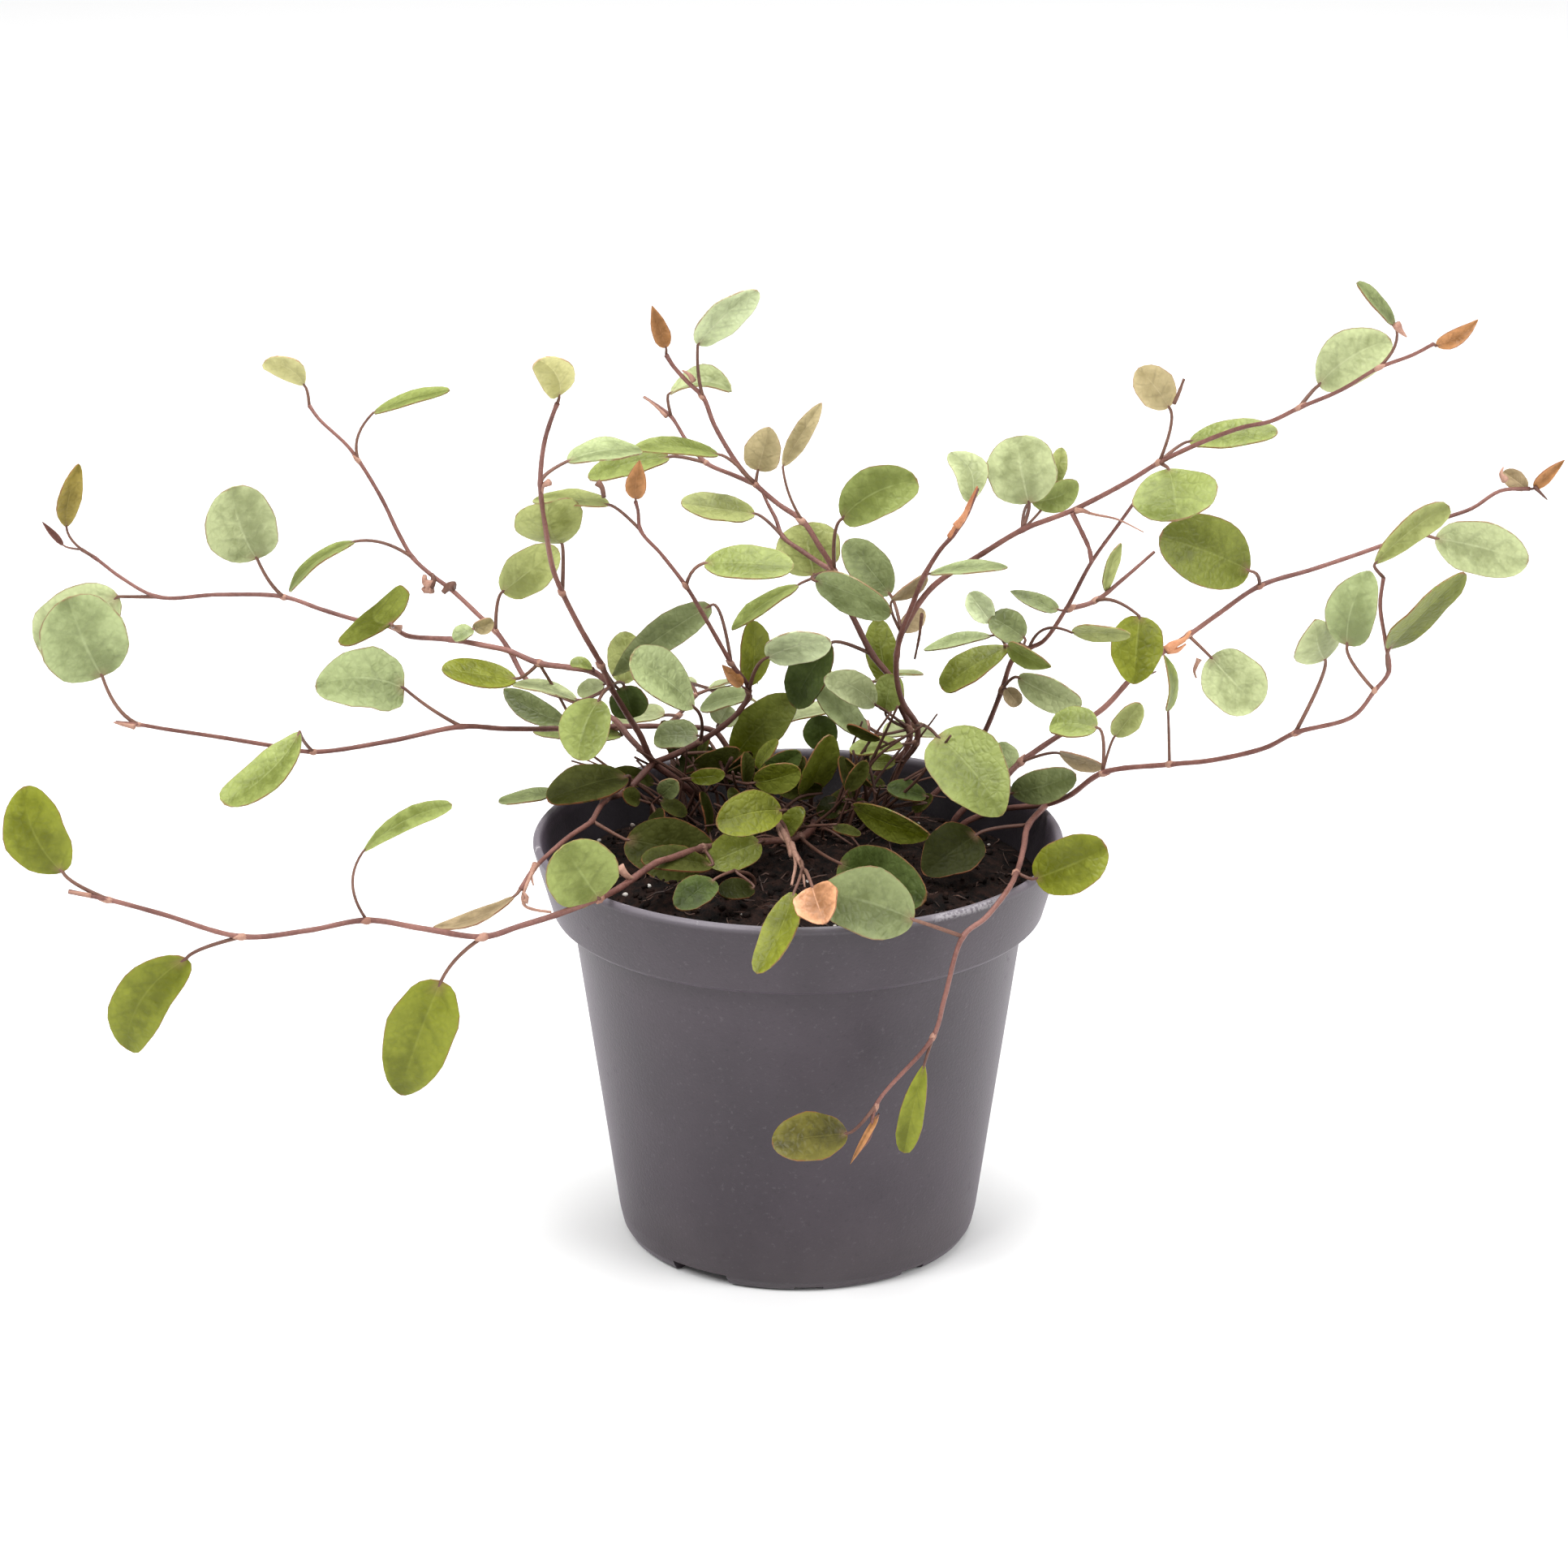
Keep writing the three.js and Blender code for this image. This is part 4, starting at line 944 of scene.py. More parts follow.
@dataclass
class LeafyStem:
    """One node of the plant: its stems, their stalks and leaves.

    Lengths are in millimetres. slim is a stem's radius against its row's, tip_share that of its tip
    against its base, and knot how much thicker a stem is at a leaf, over about knot_reach rings.
    ring_uneven and twig_uneven are how far the rings of a stem and of a twig differ. scale_shape has
    shares of a scale's length with its radius there, against the stem's. A stalk's radius is a share of
    stalk_radius, stalk_least and its leaf's width over stalk_widens, and 1 at most. It narrows from
    stalk_start by stalk_taper and goes on under the blade as a midrib, through midrib_marks.
    """

    name: str
    runners: list[Runner]
    palette: Palette
    foot_deep: float = 9.0
    neck_high: float = 1.2
    stem_step: float = 1.6
    stem_sides: int = 8
    slim: float = 0.88
    tip_share: float = 0.55
    knot: float = 0.22
    knot_reach: float = 0.8
    sheathed: float = 0.6
    ring_uneven: Span = (0.95, 1.05)
    twig_uneven: Span = (0.88, 1.12)
    twig_step: float = 0.9
    scale_sides: int = 7
    scale_long: Span = (1.8, 3.0)
    scale_lean: float = 1.1
    scale_shape: tuple[Span, ...] = ((0, 0.95), (0.25, 1.18), (0.5, 1.15), (0.75, 0.75), (1.0, 0.15))
    stalk_radius: float = 0.42
    stalk_step: float = 1.5
    stalk_sides: int = 6
    stalk_back: float = 0.22
    stalk_least: float = 0.55
    stalk_widens: float = 25
    stalk_start: float = 1.15
    stalk_taper: float = 0.25
    midrib_start: float = 0.8
    midrib_marks: tuple[float, ...] = (0.06, 0.16, 0.3, 0.45, 0.6)
    midrib_sinks: float = 8
    blade_thick: float = 0.36
    blade_columns: int = 8
    blade_rows: int = 10
    wide_blade: float = 9.0
    wide_blade_rows: int = 14

    def build(self) -> bpy.types.Object:
        """Grows every stem and leaf.

        Returns:
            The piece, which stands for the node's solid.
        """
        chance = random.Random(self.name)
        growth = Growth()
        for runner in self.runners:
            nodes = self.stem(growth, runner, chance)
            for leaf in runner.leaves:
                self.leaf(growth, leaf, nodes[leaf.node], chance)
        for twig in TWIGS.get(self.name, []):
            self.twig(growth, twig, chance)
        return growth.piece("grown_" + self.name, self.palette, "vine", (self.name,))

    def stem(self, growth: Growth, runner: Runner, chance: random.Random) -> list[Vector]:
        """Adds a stem, thicker at each node and papery where a leaf grows.

        Args:
            growth: the mesh that it is added to.
            runner: the stem.
            chance: where its small irregularities come from.

        Returns:
            The places of its nodes, in millimetres.
        """
        nodes = [seen(point) for point in runner.route]
        points = list(nodes)
        if runner.foot is not None:
            x, y = runner.foot
            top = soil_high(x, y)
            points = [Vector((x, y, top - self.foot_deep)), Vector((x, y, top + self.neck_high)), *points]
        places, marks = smooth_path(points, self.stem_step)
        radii = []
        last = len(places) - 1
        leafy = {leaf.node + len(points) - len(nodes) for leaf in runner.leaves}
        joints = [marks[number] for number in sorted(leafy)]
        for i in range(len(places)):
            radius = runner.radius * (1 + (self.tip_share - 1) * i / last) * self.slim
            near = min((abs(i - joint) for joint in joints), default=math.inf)
            swell = 1 + self.knot * math.exp(-((near / self.knot_reach) ** 2))
            radii.append(radius * swell * chance.uniform(*self.ring_uneven))
        growth.tube(places, radii, self.stem_sides, runner.bark)
        for joint in joints:
            if joint < last and chance.random() < self.sheathed:
                self.sheath(growth, places, radii, joint, chance)
        return nodes

    def sheath(
        self, growth: Growth, places: list[Vector], radii: list[float], joint: int, chance: random.Random
    ) -> None:
        """Adds the small pointed scale that clasps a stem at a node and stands off it at its tip.

        Args:
            growth: the mesh that it is added to.
            places: the middles of the stem's rings.
            radii: their radii.
            joint: the ring at the node.
            chance: where its length and lean come from.
        """
        start = places[max(0, joint - 1)].lerp(places[joint], 0.5)
        axis = (places[min(joint + 1, len(places) - 1)] - start).normalized()
        long = chance.uniform(*self.scale_long)
        wide = radii[joint]
        lean = axis.cross(Vector((chance.uniform(-1, 1), 0.3, chance.uniform(-1, 1)))).normalized() * wide
        path = [
            start + axis * long * share + lean * share**2 * self.scale_lean for share, _ in self.scale_shape
        ]
        sizes = [wide * size for _, size in self.scale_shape]
        growth.tube(path, sizes, self.scale_sides, Bark.SHEATH)

    def twig(self, growth: Growth, twig: Twig, chance: random.Random) -> None:
        """Adds a leafless shoot, a little uneven along its length."""
        places, _ = smooth_path([seen(point) for point in twig.route], self.twig_step)
        last = len(places) - 1
        radii = []
        for i in range(last + 1):
            share = i / last
            radii.append((twig.start + (twig.end - twig.start) * share) * chance.uniform(*self.twig_uneven))
        growth.tube(places, radii, self.scale_sides, twig.bark)

    def leaf(self, growth: Growth, leaf: Leaf, node: Vector, chance: random.Random) -> None:
        """Adds one leaf with its stalk, which runs on under the blade as a midrib.

        Args:
            growth: the mesh that it is added to.
            leaf: the leaf.
            node: where its stalk starts.
            chance: where its small irregularities come from.
        """
        blade = Blade(leaf, "back" in self.name, chance)
        join = blade.at(0, 0)
        reach = (join - node).length
        handle = join - blade.along * reach * self.stalk_back
        if leaf.by is not None:
            handle = seen(leaf.by) * 2 - (node + join) / 2
        path: list[Vector] = []
        steps = max(4, math.ceil(reach / self.stalk_step))
        for i in range(steps + 1):
            t = i / steps
            path.append(node * (1 - t) ** 2 + handle * 2 * t * (1 - t) + join * t**2)
        thick = self.stalk_radius * min(1.0, self.stalk_least + leaf.width / self.stalk_widens)
        radii = [thick * (self.stalk_start - self.stalk_taper * i / steps) for i in range(steps + 1)]
        for share in self.midrib_marks:
            radii.append(thick * (self.midrib_start - share))
            under = self.blade_thick * 0.5 + radii[-1] * min(1, share * self.midrib_sinks)
            path.append(blade.at(share, 0) - blade.out * under)
        growth.tube(path, radii, self.stalk_sides, Bark.STALK)
        rows = self.wide_blade_rows if leaf.width > self.wide_blade else self.blade_rows
        blade.grow(growth, rows, self.blade_columns, self.blade_thick)


# Rows: x and z on the upright plane through the middle, then the depth, in millimetres
FAN_LEFT = [
    Runner(1, (-21, 40), Bark.COPPER, [
        (-27, 108, 36), (-32.5, 112.5, 33), (-35.5, 119, 28), (-39, 125, 23), (-42, 130.5, 18),
        (-44, 135.5, 15),
        (-48.5, 144, 9), (-52.5, 152.5, 3), (-54.5, 158, -1), (-56, 167.5, -8), (-57, 177.5, -14),
        (-56, 187, -19),
        (-54, 193.5, -22), (-53, 196, -23),
    ], [
        Leaf(13, (-52.5, 197.5, -23), (-57, 206, -32), 8, 0, Look.CREAM, -0.12, fold=0.1, arch=0.05,
             form=Form.ROUND),
        Leaf(10, (-51, 183, -7), (-34.5, 185.5, -1), 11, -64, Look.SAGE, fold=0.1, arch=0.08,
             by=(-55.5, 180, -10.5)),
        Leaf(7, (-52.5, 164.5, 1), (-55.5, 174, -11), 15.5, -8, Look.YELLOW, 0.07, fold=-0.25, arch=0.1,
             form=Form.WEDGE),
        Leaf(4, (-44.5, 127.5, 10), (-49.5, 113, 2), 11.5, 0, Look.BRIGHT, -0.08, fold=0.1, form=Form.OVAL),
        Leaf(4, (-49.5, 127.5, 22), (-64, 131, 24), 9, 72, Look.PALE, fold=0.1, arch=0.08),
        Leaf(4, (-39, 130.5, 26), (-37, 123, 26), 9, 10, Look.DEEP),
        Leaf(5, (-39, 131, 30), (-38.5, 143.5, 34), 8.5, 10, Look.YELLOW),
        Leaf(5, (-43.5, 131, 22), (-49.5, 129, 24), 4.5, 20, Look.PALE),
    ]),
    Runner(0.85, None, Bark.COPPER, [
        (-42.5, 131.5, 18), (-46, 134, 19), (-51.5, 135, 21), (-58, 136, 24), (-65, 139, 27),
        (-69.5, 140, 29),
        (-77.5, 141.5, 32), (-87.5, 142.5, 36), (-90.5, 144.5, 37), (-98, 146, 40), (-106, 148.5, 43),
        (-114.5, 151.5, 46), (-129, 152, 51), (-142.5, 151.5, 56), (-150.5, 156, 59), (-156, 160.5, 61),
        (-159, 162.5, 62),
    ], [
        Leaf(15, (-162, 167.5, 62), (-158.5, 182, 58), 6, 30, Look.OCHRE, 0.09, fold=0.2, form=Form.LENS,
             by=(-160.5, 164, 61.5)),
        Leaf(16, (-163, 163.5, 63), (-167.5, 169, 64), 1.5, 0, Look.BUD, fold=0.2, arch=0, form=Form.BUD),
        Leaf(13, (-151.5, 151.5, 61), (-170, 139.5, 67), 16.5, 10, Look.PALE, 0.01, form=Form.ROUND,
             by=(-147.5, 151.5, 58.5)),
        Leaf(11, (-120, 160, 44), (-125, 176.5, 38), 16.5, 0, Look.PALE, 0.06, by=(-117.5, 155, 45)),
        Leaf(8, (-91, 145.5, 28), (-94.5, 150, 37), 20, 0, Look.OLIVE, 0.2, fold=0.1, arch=0.02),
        Leaf(6, (-72.5, 144, 30), (-77, 141.5, 28), 4, 30, Look.SAGE, fold=0.2, arch=0.2),
        Leaf(6, (-72.5, 144, 32), (-68, 146, 32), 4, 30, Look.BLUSH, fold=0.2, arch=0.2),
        Leaf(3, (-63, 132.5, 26), (-79.5, 135, 22), 10, 52, Look.LIME, fold=0.1, arch=-0.02),
        Leaf(3, (-52, 122, 30), (-66, 130, 34), 6.5, 20, Look.MOSS, 0.09),
        Leaf(1, (-46, 135, 17), (-51, 136, 16), 4, 50, Look.BRIGHT, fold=0.1, arch=0.15),
    ]),
    Runner(0.85, None, Bark.COPPER, [
        (-32.5, 112.5, 33), (-38, 118.5, 36), (-41, 122.5, 40), (-51.5, 127.5, 48), (-59, 130.5, 54),
        (-61.5, 133, 56), (-64.5, 139, 60), (-67.5, 143.5, 62), (-70.5, 146.5, 64), (-77, 153, 68),
        (-82, 157, 70),
        (-85.5, 160.5, 72), (-88.5, 166, 74), (-92, 174, 77), (-97, 183, 80), (-99.5, 186.5, 81),
        (-105.5, 192.5, 84), (-107.5, 195.5, 86),
    ], [
        Leaf(17, (-108.5, 200, 87), (-117, 205.5, 84), 7.5, -40, Look.CREAM, -0.22, fold=0.1,
             form=Form.WEDGE),
        Leaf(14, (-93.5, 194, 80), (-76.5, 199, 76), 6, -60, Look.BRIGHT, fold=0.1, arch=0.05, form=Form.OVAL,
             by=(-97, 188.5, 80)),
        Leaf(11, (-98.5, 164.5, 74), (-113.5, 153, 70), 10.5, 75, Look.BRIGHT, 0.12, fold=0.1, arch=0.12,
             by=(-92, 164, 73)),
        Leaf(7, (-66, 152.5, 62), (-53.5, 162.5, 58), 10.5, 0, Look.YELLOW, form=Form.OVAL),
    ]),
    Runner(0.8, None, Bark.COPPER, [
        (-32.5, 112.5, 33), (-27.5, 114.5, 29), (-22, 117.5, 25), (-17, 121, 22), (-13, 125, 19),
        (-11, 129.5, 17),
        (-15, 136, 12), (-21, 147, 4), (-25, 154, -1), (-30.5, 161.5, -5), (-35, 167, -9),
        (-35.5, 171.5, -10),
        (-36, 173.5, -11),
    ], [
        Leaf(12, (-36, 174, -11), (-35, 183, -12), 4.5, 0, Look.BRONZE, 0.03, fold=0.25, form=Form.BUD),
        Leaf(10, (-42, 173, -6), (-58.5, 174, 2), 9.5, 68, Look.YELLOW, 0.07, fold=0.1, arch=0.08),
        Leaf(8, (-21, 159.5, -3), (-1, 158.5, -6), 11, -46, Look.BRIGHT, -0.03, fold=0.1,
             by=(-23.5, 157.5, -2)),
        Leaf(6, (-19.5, 149.5, 16), (-41.5, 133, 22), 8, 0, Look.MOSS, -0.03, form=Form.POINTED),
        Leaf(5, (-12.5, 130.5, 14), (-17, 135.5, 13), 3, 0, Look.BRONZE, fold=0.3, form=Form.BUD),
        Leaf(5, (-7, 137, 7), (7, 141.5, 1), 11, 45, Look.GLOSSY, 0.11),
        Leaf(5, (-10.5, 130.5, 22), (-10, 146, 24), 9, 40, Look.LIME, form=Form.OVAL),
        Leaf(2, (-23, 125.5, 12), (-37.5, 137.5, 4), 12, 32, Look.SAGE, -0.02, form=Form.WEDGE),
        Leaf(4, (-11, 128.5, 26), (-22, 125.5, 30), 8, 55, Look.SAGE),
        Leaf(3, (-18, 121.5, 28), (-15.5, 126, 30), 7, 10, Look.PALE),
        Leaf(1, (-18, 114.5, 40), (-28, 111, 44), 7, 40, Look.SHADE),
    ]),
    Runner(0.9, None, Bark.COPPER, [
        (-32.5, 112.5, 33), (-39, 105.5, 24), (-43.5, 103.5, 12), (-46, 99.5, 3), (-46.5, 98.5, 0),
        (-52, 94.5, -12), (-58.5, 88.5, -26), (-61, 85.5, -32), (-63, 82, -36),
    ], [
        Leaf(8, (-64.5, 80.5, -38), (-83, 73, -40), 7.5, 68, Look.DRY, 0.11, fold=0.1, arch=-0.04),
        Leaf(4, (-39, 94, -2), (-18.5, 85, -6), 14.5, 0, Look.DARK, 0.08, form=Form.ROUND),
        Leaf(1, (-38.5, 109.5, 18), (-56.5, 103.5, 8), 12, 45, Look.DARK),
        Leaf(2, (-54.5, 106, 16), (-67.5, 103, 10), 6, 60, Look.MOSS, fold=0.1, arch=0),
    ]),
]

LOW_LEFT = [
    Runner(0.9, (-10, 46), Bark.COPPER, [
        (-16.5, 117, 48), (-19, 120, 49), (-28, 121, 49), (-40.5, 121, 46), (-53.5, 120.5, 38),
        (-66, 120.5, 29),
        (-75.5, 121, 22), (-92, 117.5, 10), (-109, 115, -2), (-118.5, 116.5, -8), (-130, 118.5, -16),
        (-142.5, 120.5, -25), (-148, 121.5, -29), (-153, 122, -32),
    ], [
        Leaf(12, (-155.5, 132.5, -33), (-162.5, 151, -39), 19, 0, Look.SAGE, 0.03, form=Form.ROUND,
             by=(-152.5, 125.5, -31)),
        Leaf(8, (-112, 120, -10), (-129.5, 102.5, -22), 11, 42, Look.BRIGHT, 0.15, form=Form.WEDGE,
             by=(-111, 117.5, -6)),
        Leaf(6, (-88, 130, 20), (-108, 130.5, 14), 14, 0, Look.SAGE, -0.11, form=Form.BLUNT,
             by=(-82, 125, 21)),
        Leaf(3, (-39.5, 119, 46), (-59.5, 120, 42), 8, 45, Look.BRIGHT, fold=0.1),
    ]),
]

FAN_TOP = [
    Runner(1, (15, 42), Bark.COPPER, [
        (18.5, 110.5, 40), (24, 115, 37), (25, 120.5, 35), (22.5, 127, 33), (21, 132, 31), (16.5, 138, 30),
        (13, 145, 29), (10, 151.5, 29), (8, 157.5, 29), (4.5, 163.5, 30), (1, 169, 32), (-4.5, 173, 34),
        (-9.5, 177.5, 36), (-13, 181.5, 38), (-18.5, 191, 41), (-21, 197.5, 43), (-24, 200.5, 44),
        (-27.5, 204.5, 45), (-29, 207, 46),
    ], [
        Leaf(18, (-29, 208.5, 46), (-32, 218, 44), 4, 0, Look.BRONZE, fold=0.25, form=Form.BUD),
        Leaf(15, (-22, 209, 42), (-9, 221.5, 38), 10, 42, Look.GLOSSY, 0.1, form=Form.OVAL,
             by=(-22, 203, 42.5)),
        Leaf(12, (-9, 180.5, 36), (-6.5, 190.5, 34), 8.5, 0, Look.BLUSH, form=Form.OVATE),
        Leaf(12, (-17.5, 184.5, 34), (-36.5, 186, 30), 8.5, 64, Look.BRIGHT, fold=0.1),
        Leaf(10, (-3.5, 181.5, 30), (5, 196, 26), 4.5, 0, Look.BLUSH, 0.01, by=(-2, 175, 31)),
        Leaf(8, (3.5, 156.5, 36), (1, 168.5, 40), 15, 0, Look.YELLOW),
        Leaf(8, (3.5, 155, 16), (20.5, 147.5, 8), 12.5, 50, Look.SAGE, 0.12, form=Form.OVAL),
        Leaf(8, (0, 154.5, 26), (-15, 144, 18), 8, 62, Look.BRIGHT, 0.07, fold=0.1, arch=0.08),
        Leaf(8, (9.5, 169.5, 26), (26, 178.5, 20), 11.5, 0, Look.BRIGHT, 0.09, form=Form.ROUND),
        Leaf(5, (7, 140.5, 28), (-1.5, 126, 32), 11, 30, Look.DEEP),
        Leaf(4, (20.5, 130, 38), (17.5, 146.5, 44), 7.5, 0, Look.OLIVE, 0.02),
        Leaf(2, (17.5, 126, 26), (6, 132.5, 20), 7.5, 0, Look.PALE, -0.08),
        Leaf(2, (15.5, 119.5, 32), (4, 130, 28), 7, 25, Look.SAGE, 0.03, form=Form.OVAL),
        Leaf(2, (19.5, 124.5, 30), (21, 133.5, 30), 7, 0, Look.BRIGHT),
    ]),
    Runner(0.7, None, Bark.COPPER, [
        (-9.5, 177.5, 36), (-14, 179.5, 42), (-20.5, 182.5, 48), (-23.5, 186, 51), (-25, 188, 53),
        (-28, 193, 57),
        (-31, 195.5, 60), (-34, 197.5, 62),
    ], [
        Leaf(2, (-28.5, 184, 50), (-46.5, 179, 48), 11, 58, Look.BRIGHT, fold=0.1),
        Leaf(5, (-28.5, 199, 56), (-15, 199.5, 52), 6.5, -42, Look.PALE, 0.21, fold=0.8, arch=0),
    ]),
    Runner(0.75, None, Bark.COPPER, [
        (8, 157.5, 29), (6, 158.5, 31), (1, 162, 34), (-3.5, 165.5, 38), (-5, 169.5, 42), (-7, 173.5, 45),
        (-8, 176, 47),
    ], [
        Leaf(3, (-9.5, 171, 42), (-26, 173.5, 40), 10, 52, Look.YELLOW, 0.09),
    ]),
]

CENTRE = [
    Runner(0.95, (20, 36), Bark.COPPER, [
        (22.5, 111, 32), (26.5, 117, 28), (26.5, 121.5, 25), (23.5, 126.5, 21), (22, 132.5, 18),
        (22, 138, 15),
        (23, 143, 12), (25.5, 150, 7), (28, 156.5, 2), (31.5, 162.5, -3), (34, 165.5, -6), (37, 170, -9),
        (39.5, 176.5, -12),
    ], [
        Leaf(10, (38, 173.5, -2), (33.5, 185, 4), 7.5, 0, Look.PALE, -0.22, form=Form.OVAL),
        Leaf(8, (29, 157, 2), (46.5, 158.5, 0), 7, -66, Look.SAGE, -0.04, fold=0.1),
        Leaf(2, (31, 119, 8), (46, 100, -6), 16.5, 0, Look.BRIGHT, 0.05, form=Form.OVATE),
        Leaf(1, (23.5, 117, 24), (11.5, 115, 20), 7, 55, Look.BRIGHT, fold=0.1),
        Leaf(6, (20.5, 152, 18), (10.5, 164.5, 20), 9.5, 15, Look.MOSS),
        Leaf(6, (21, 150.5, 10), (28.5, 156.5, 8), 6, 60, Look.DRY),
        Leaf(5, (23, 143.5, 22), (28, 148.5, 24), 5, 20, Look.DRY),
    ]),
    Runner(0.8, None, Bark.COPPER, [
        (23, 143, 12), (26.5, 149.5, 11), (30, 154, 10), (34.5, 157.5, 8), (40, 161, 5), (49.5, 167, 0),
        (60.5, 171.5, -7), (72.5, 178, -14), (79.5, 182.5, -19), (88.5, 187, -24), (97.5, 190.5, -29),
        (104, 192, -33), (110, 195, -36), (119, 199, -40), (127, 204, -44), (134.5, 207, -48),
        (139, 209.5, -50),
    ], [
        Leaf(5, (51, 173, 2), (48, 188.5, 4), 15.5, 0, Look.PALE, 0.02),
        Leaf(5, (51.5, 173.5, 8), (62, 177.5, 12), 7, 20, Look.BRIGHT, -0.07),
        Leaf(5, (56.5, 177, 14), (58, 186, 16), 4, 0, Look.YELLOW),
        Leaf(8, (81.5, 181.5, -20), (83.5, 169.5, -32), 18.5, 0, Look.BRIGHT, 0.04, form=Form.WEDGE),
        Leaf(8, (81.5, 195, -22), (74.5, 204, -22), 8.5, 0, Look.BLUSH, -0.03, form=Form.OVAL),
        Leaf(8, (86, 187.5, -14), (105.5, 189.5, -18), 9.5, -52, Look.BRIGHT, -0.02, fold=0.1),
        Leaf(12, (114, 200, -32), (129.5, 210.5, -36), 11.5, 0, Look.PALE, 0.08),
        Leaf(14, (130.5, 214, -46), (122, 223.5, -48), 5.5, 60, Look.MOSS, 0.08, by=(130.5, 209, -45)),
        Leaf(16, (139.5, 209, -50), (148.5, 215, -52), 3.5, 0, Look.BRONZE, -0.07, fold=0.3, form=Form.BUD),
    ]),
]

RIGHT_FAN = [
    Runner(0.85, (28, 38.5), Bark.COPPER, [
        (37, 111.5, 40), (41.5, 119, 38), (45.5, 129.5, 36), (48, 137, 35), (51.5, 139.5, 33),
        (54.5, 141, 32),
        (59.5, 148.5, 29), (65, 159.5, 26), (71, 168.5, 23), (75, 174.5, 21),
    ], [
        Leaf(4, (61, 143, 22), (74, 142.5, 16), 7, 58, Look.YELLOW, 0.12, fold=0.1, by=(55, 144, 27.5)),
        Leaf(3, (43, 145.5, 38), (38, 152.5, 40), 6, 0, Look.GLOSSY),
        Leaf(3, (50.5, 142, 36), (43, 147, 38), 8, 20, Look.MOSS),
        Leaf(3, (47, 140, 30), (32, 130, 26), 10, 45, Look.OLIVE, form=Form.WEDGE),
        Leaf(3, (46.5, 140, 28), (56.5, 135, 24), 7, 50, Look.BRIGHT, form=Form.POINTED),
        Leaf(2, (49, 132.5, 32), (63.5, 126, 28), 9.5, 40, Look.PALE),
        Leaf(2, (46.5, 130, 34), (49.5, 126, 34), 4, 0, Look.DRY),
        Leaf(4, (43, 142.5, 42), (28, 139, 46), 5, 55, Look.SAGE, fold=0.1),
    ]),
    Runner(0.75, None, Bark.COPPER, [
        (59.5, 148.5, 29), (66, 150.5, 32), (72, 155.5, 35), (79, 162, 38),
    ], [
        Leaf(1, (68.5, 152.5, 34), (71.5, 164, 34), 4, 45, Look.YELLOW, 0.12),
        Leaf(0, (58, 148.5, 32), (47, 153, 36), 4, 20, Look.MOSS, 0.02, form=Form.POINTED),
        Leaf(1, (76, 147, 26), (75, 131, 20), 12, 0, Look.LIME, form=Form.OVATE, by=(70.5, 150.5, 29)),
    ]),
]

RIGHT_FAR = [
    Runner(0.9, (36, 32), Bark.COPPER, [
        (47, 109.5, 32), (50, 112.5, 33), (58, 118.5, 34), (68, 125, 35), (75.5, 133.5, 37), (82, 139, 39),
        (87, 142.5, 41), (93.5, 147.5, 43), (102.5, 154, 46), (114.5, 158, 50), (127, 162.5, 54),
        (137, 166.5, 57),
        (142.5, 169.5, 59), (149, 172, 61), (155, 176, 63), (161.5, 176.5, 65),
    ], [
        Leaf(6, (92, 137.5, 38), (103, 125.5, 32), 14, 0, Look.PALE),
        Leaf(8, (100.5, 157.5, 42), (80, 165.5, 34), 16.5, 10, Look.OLIVE, -0.02, form=Form.OVAL,
             by=(102, 156.5, 44)),
        Leaf(11, (141, 165, 56), (162, 159.5, 50), 13.5, 22, Look.PALE, 0.05),
        Leaf(15, (161, 176.5, 65), (155.5, 180.5, 66), 4.5, 0, Look.DRY),
        Leaf(15, (162.5, 176.5, 65), (169, 183, 64), 3, 20, Look.BRONZE, 0.04, fold=0.3, form=Form.BUD),
        Leaf(1, (58.5, 114.5, 28), (68.5, 111.5, 24), 7, 62, Look.DRY),
        Leaf(0, (48, 105, 14), (62.5, 109.5, 8), 8.5, 20, Look.MOSS),
        Leaf(1, (49, 111.5, 36), (44, 116.5, 38), 6, 20, Look.SAGE),
    ]),
]

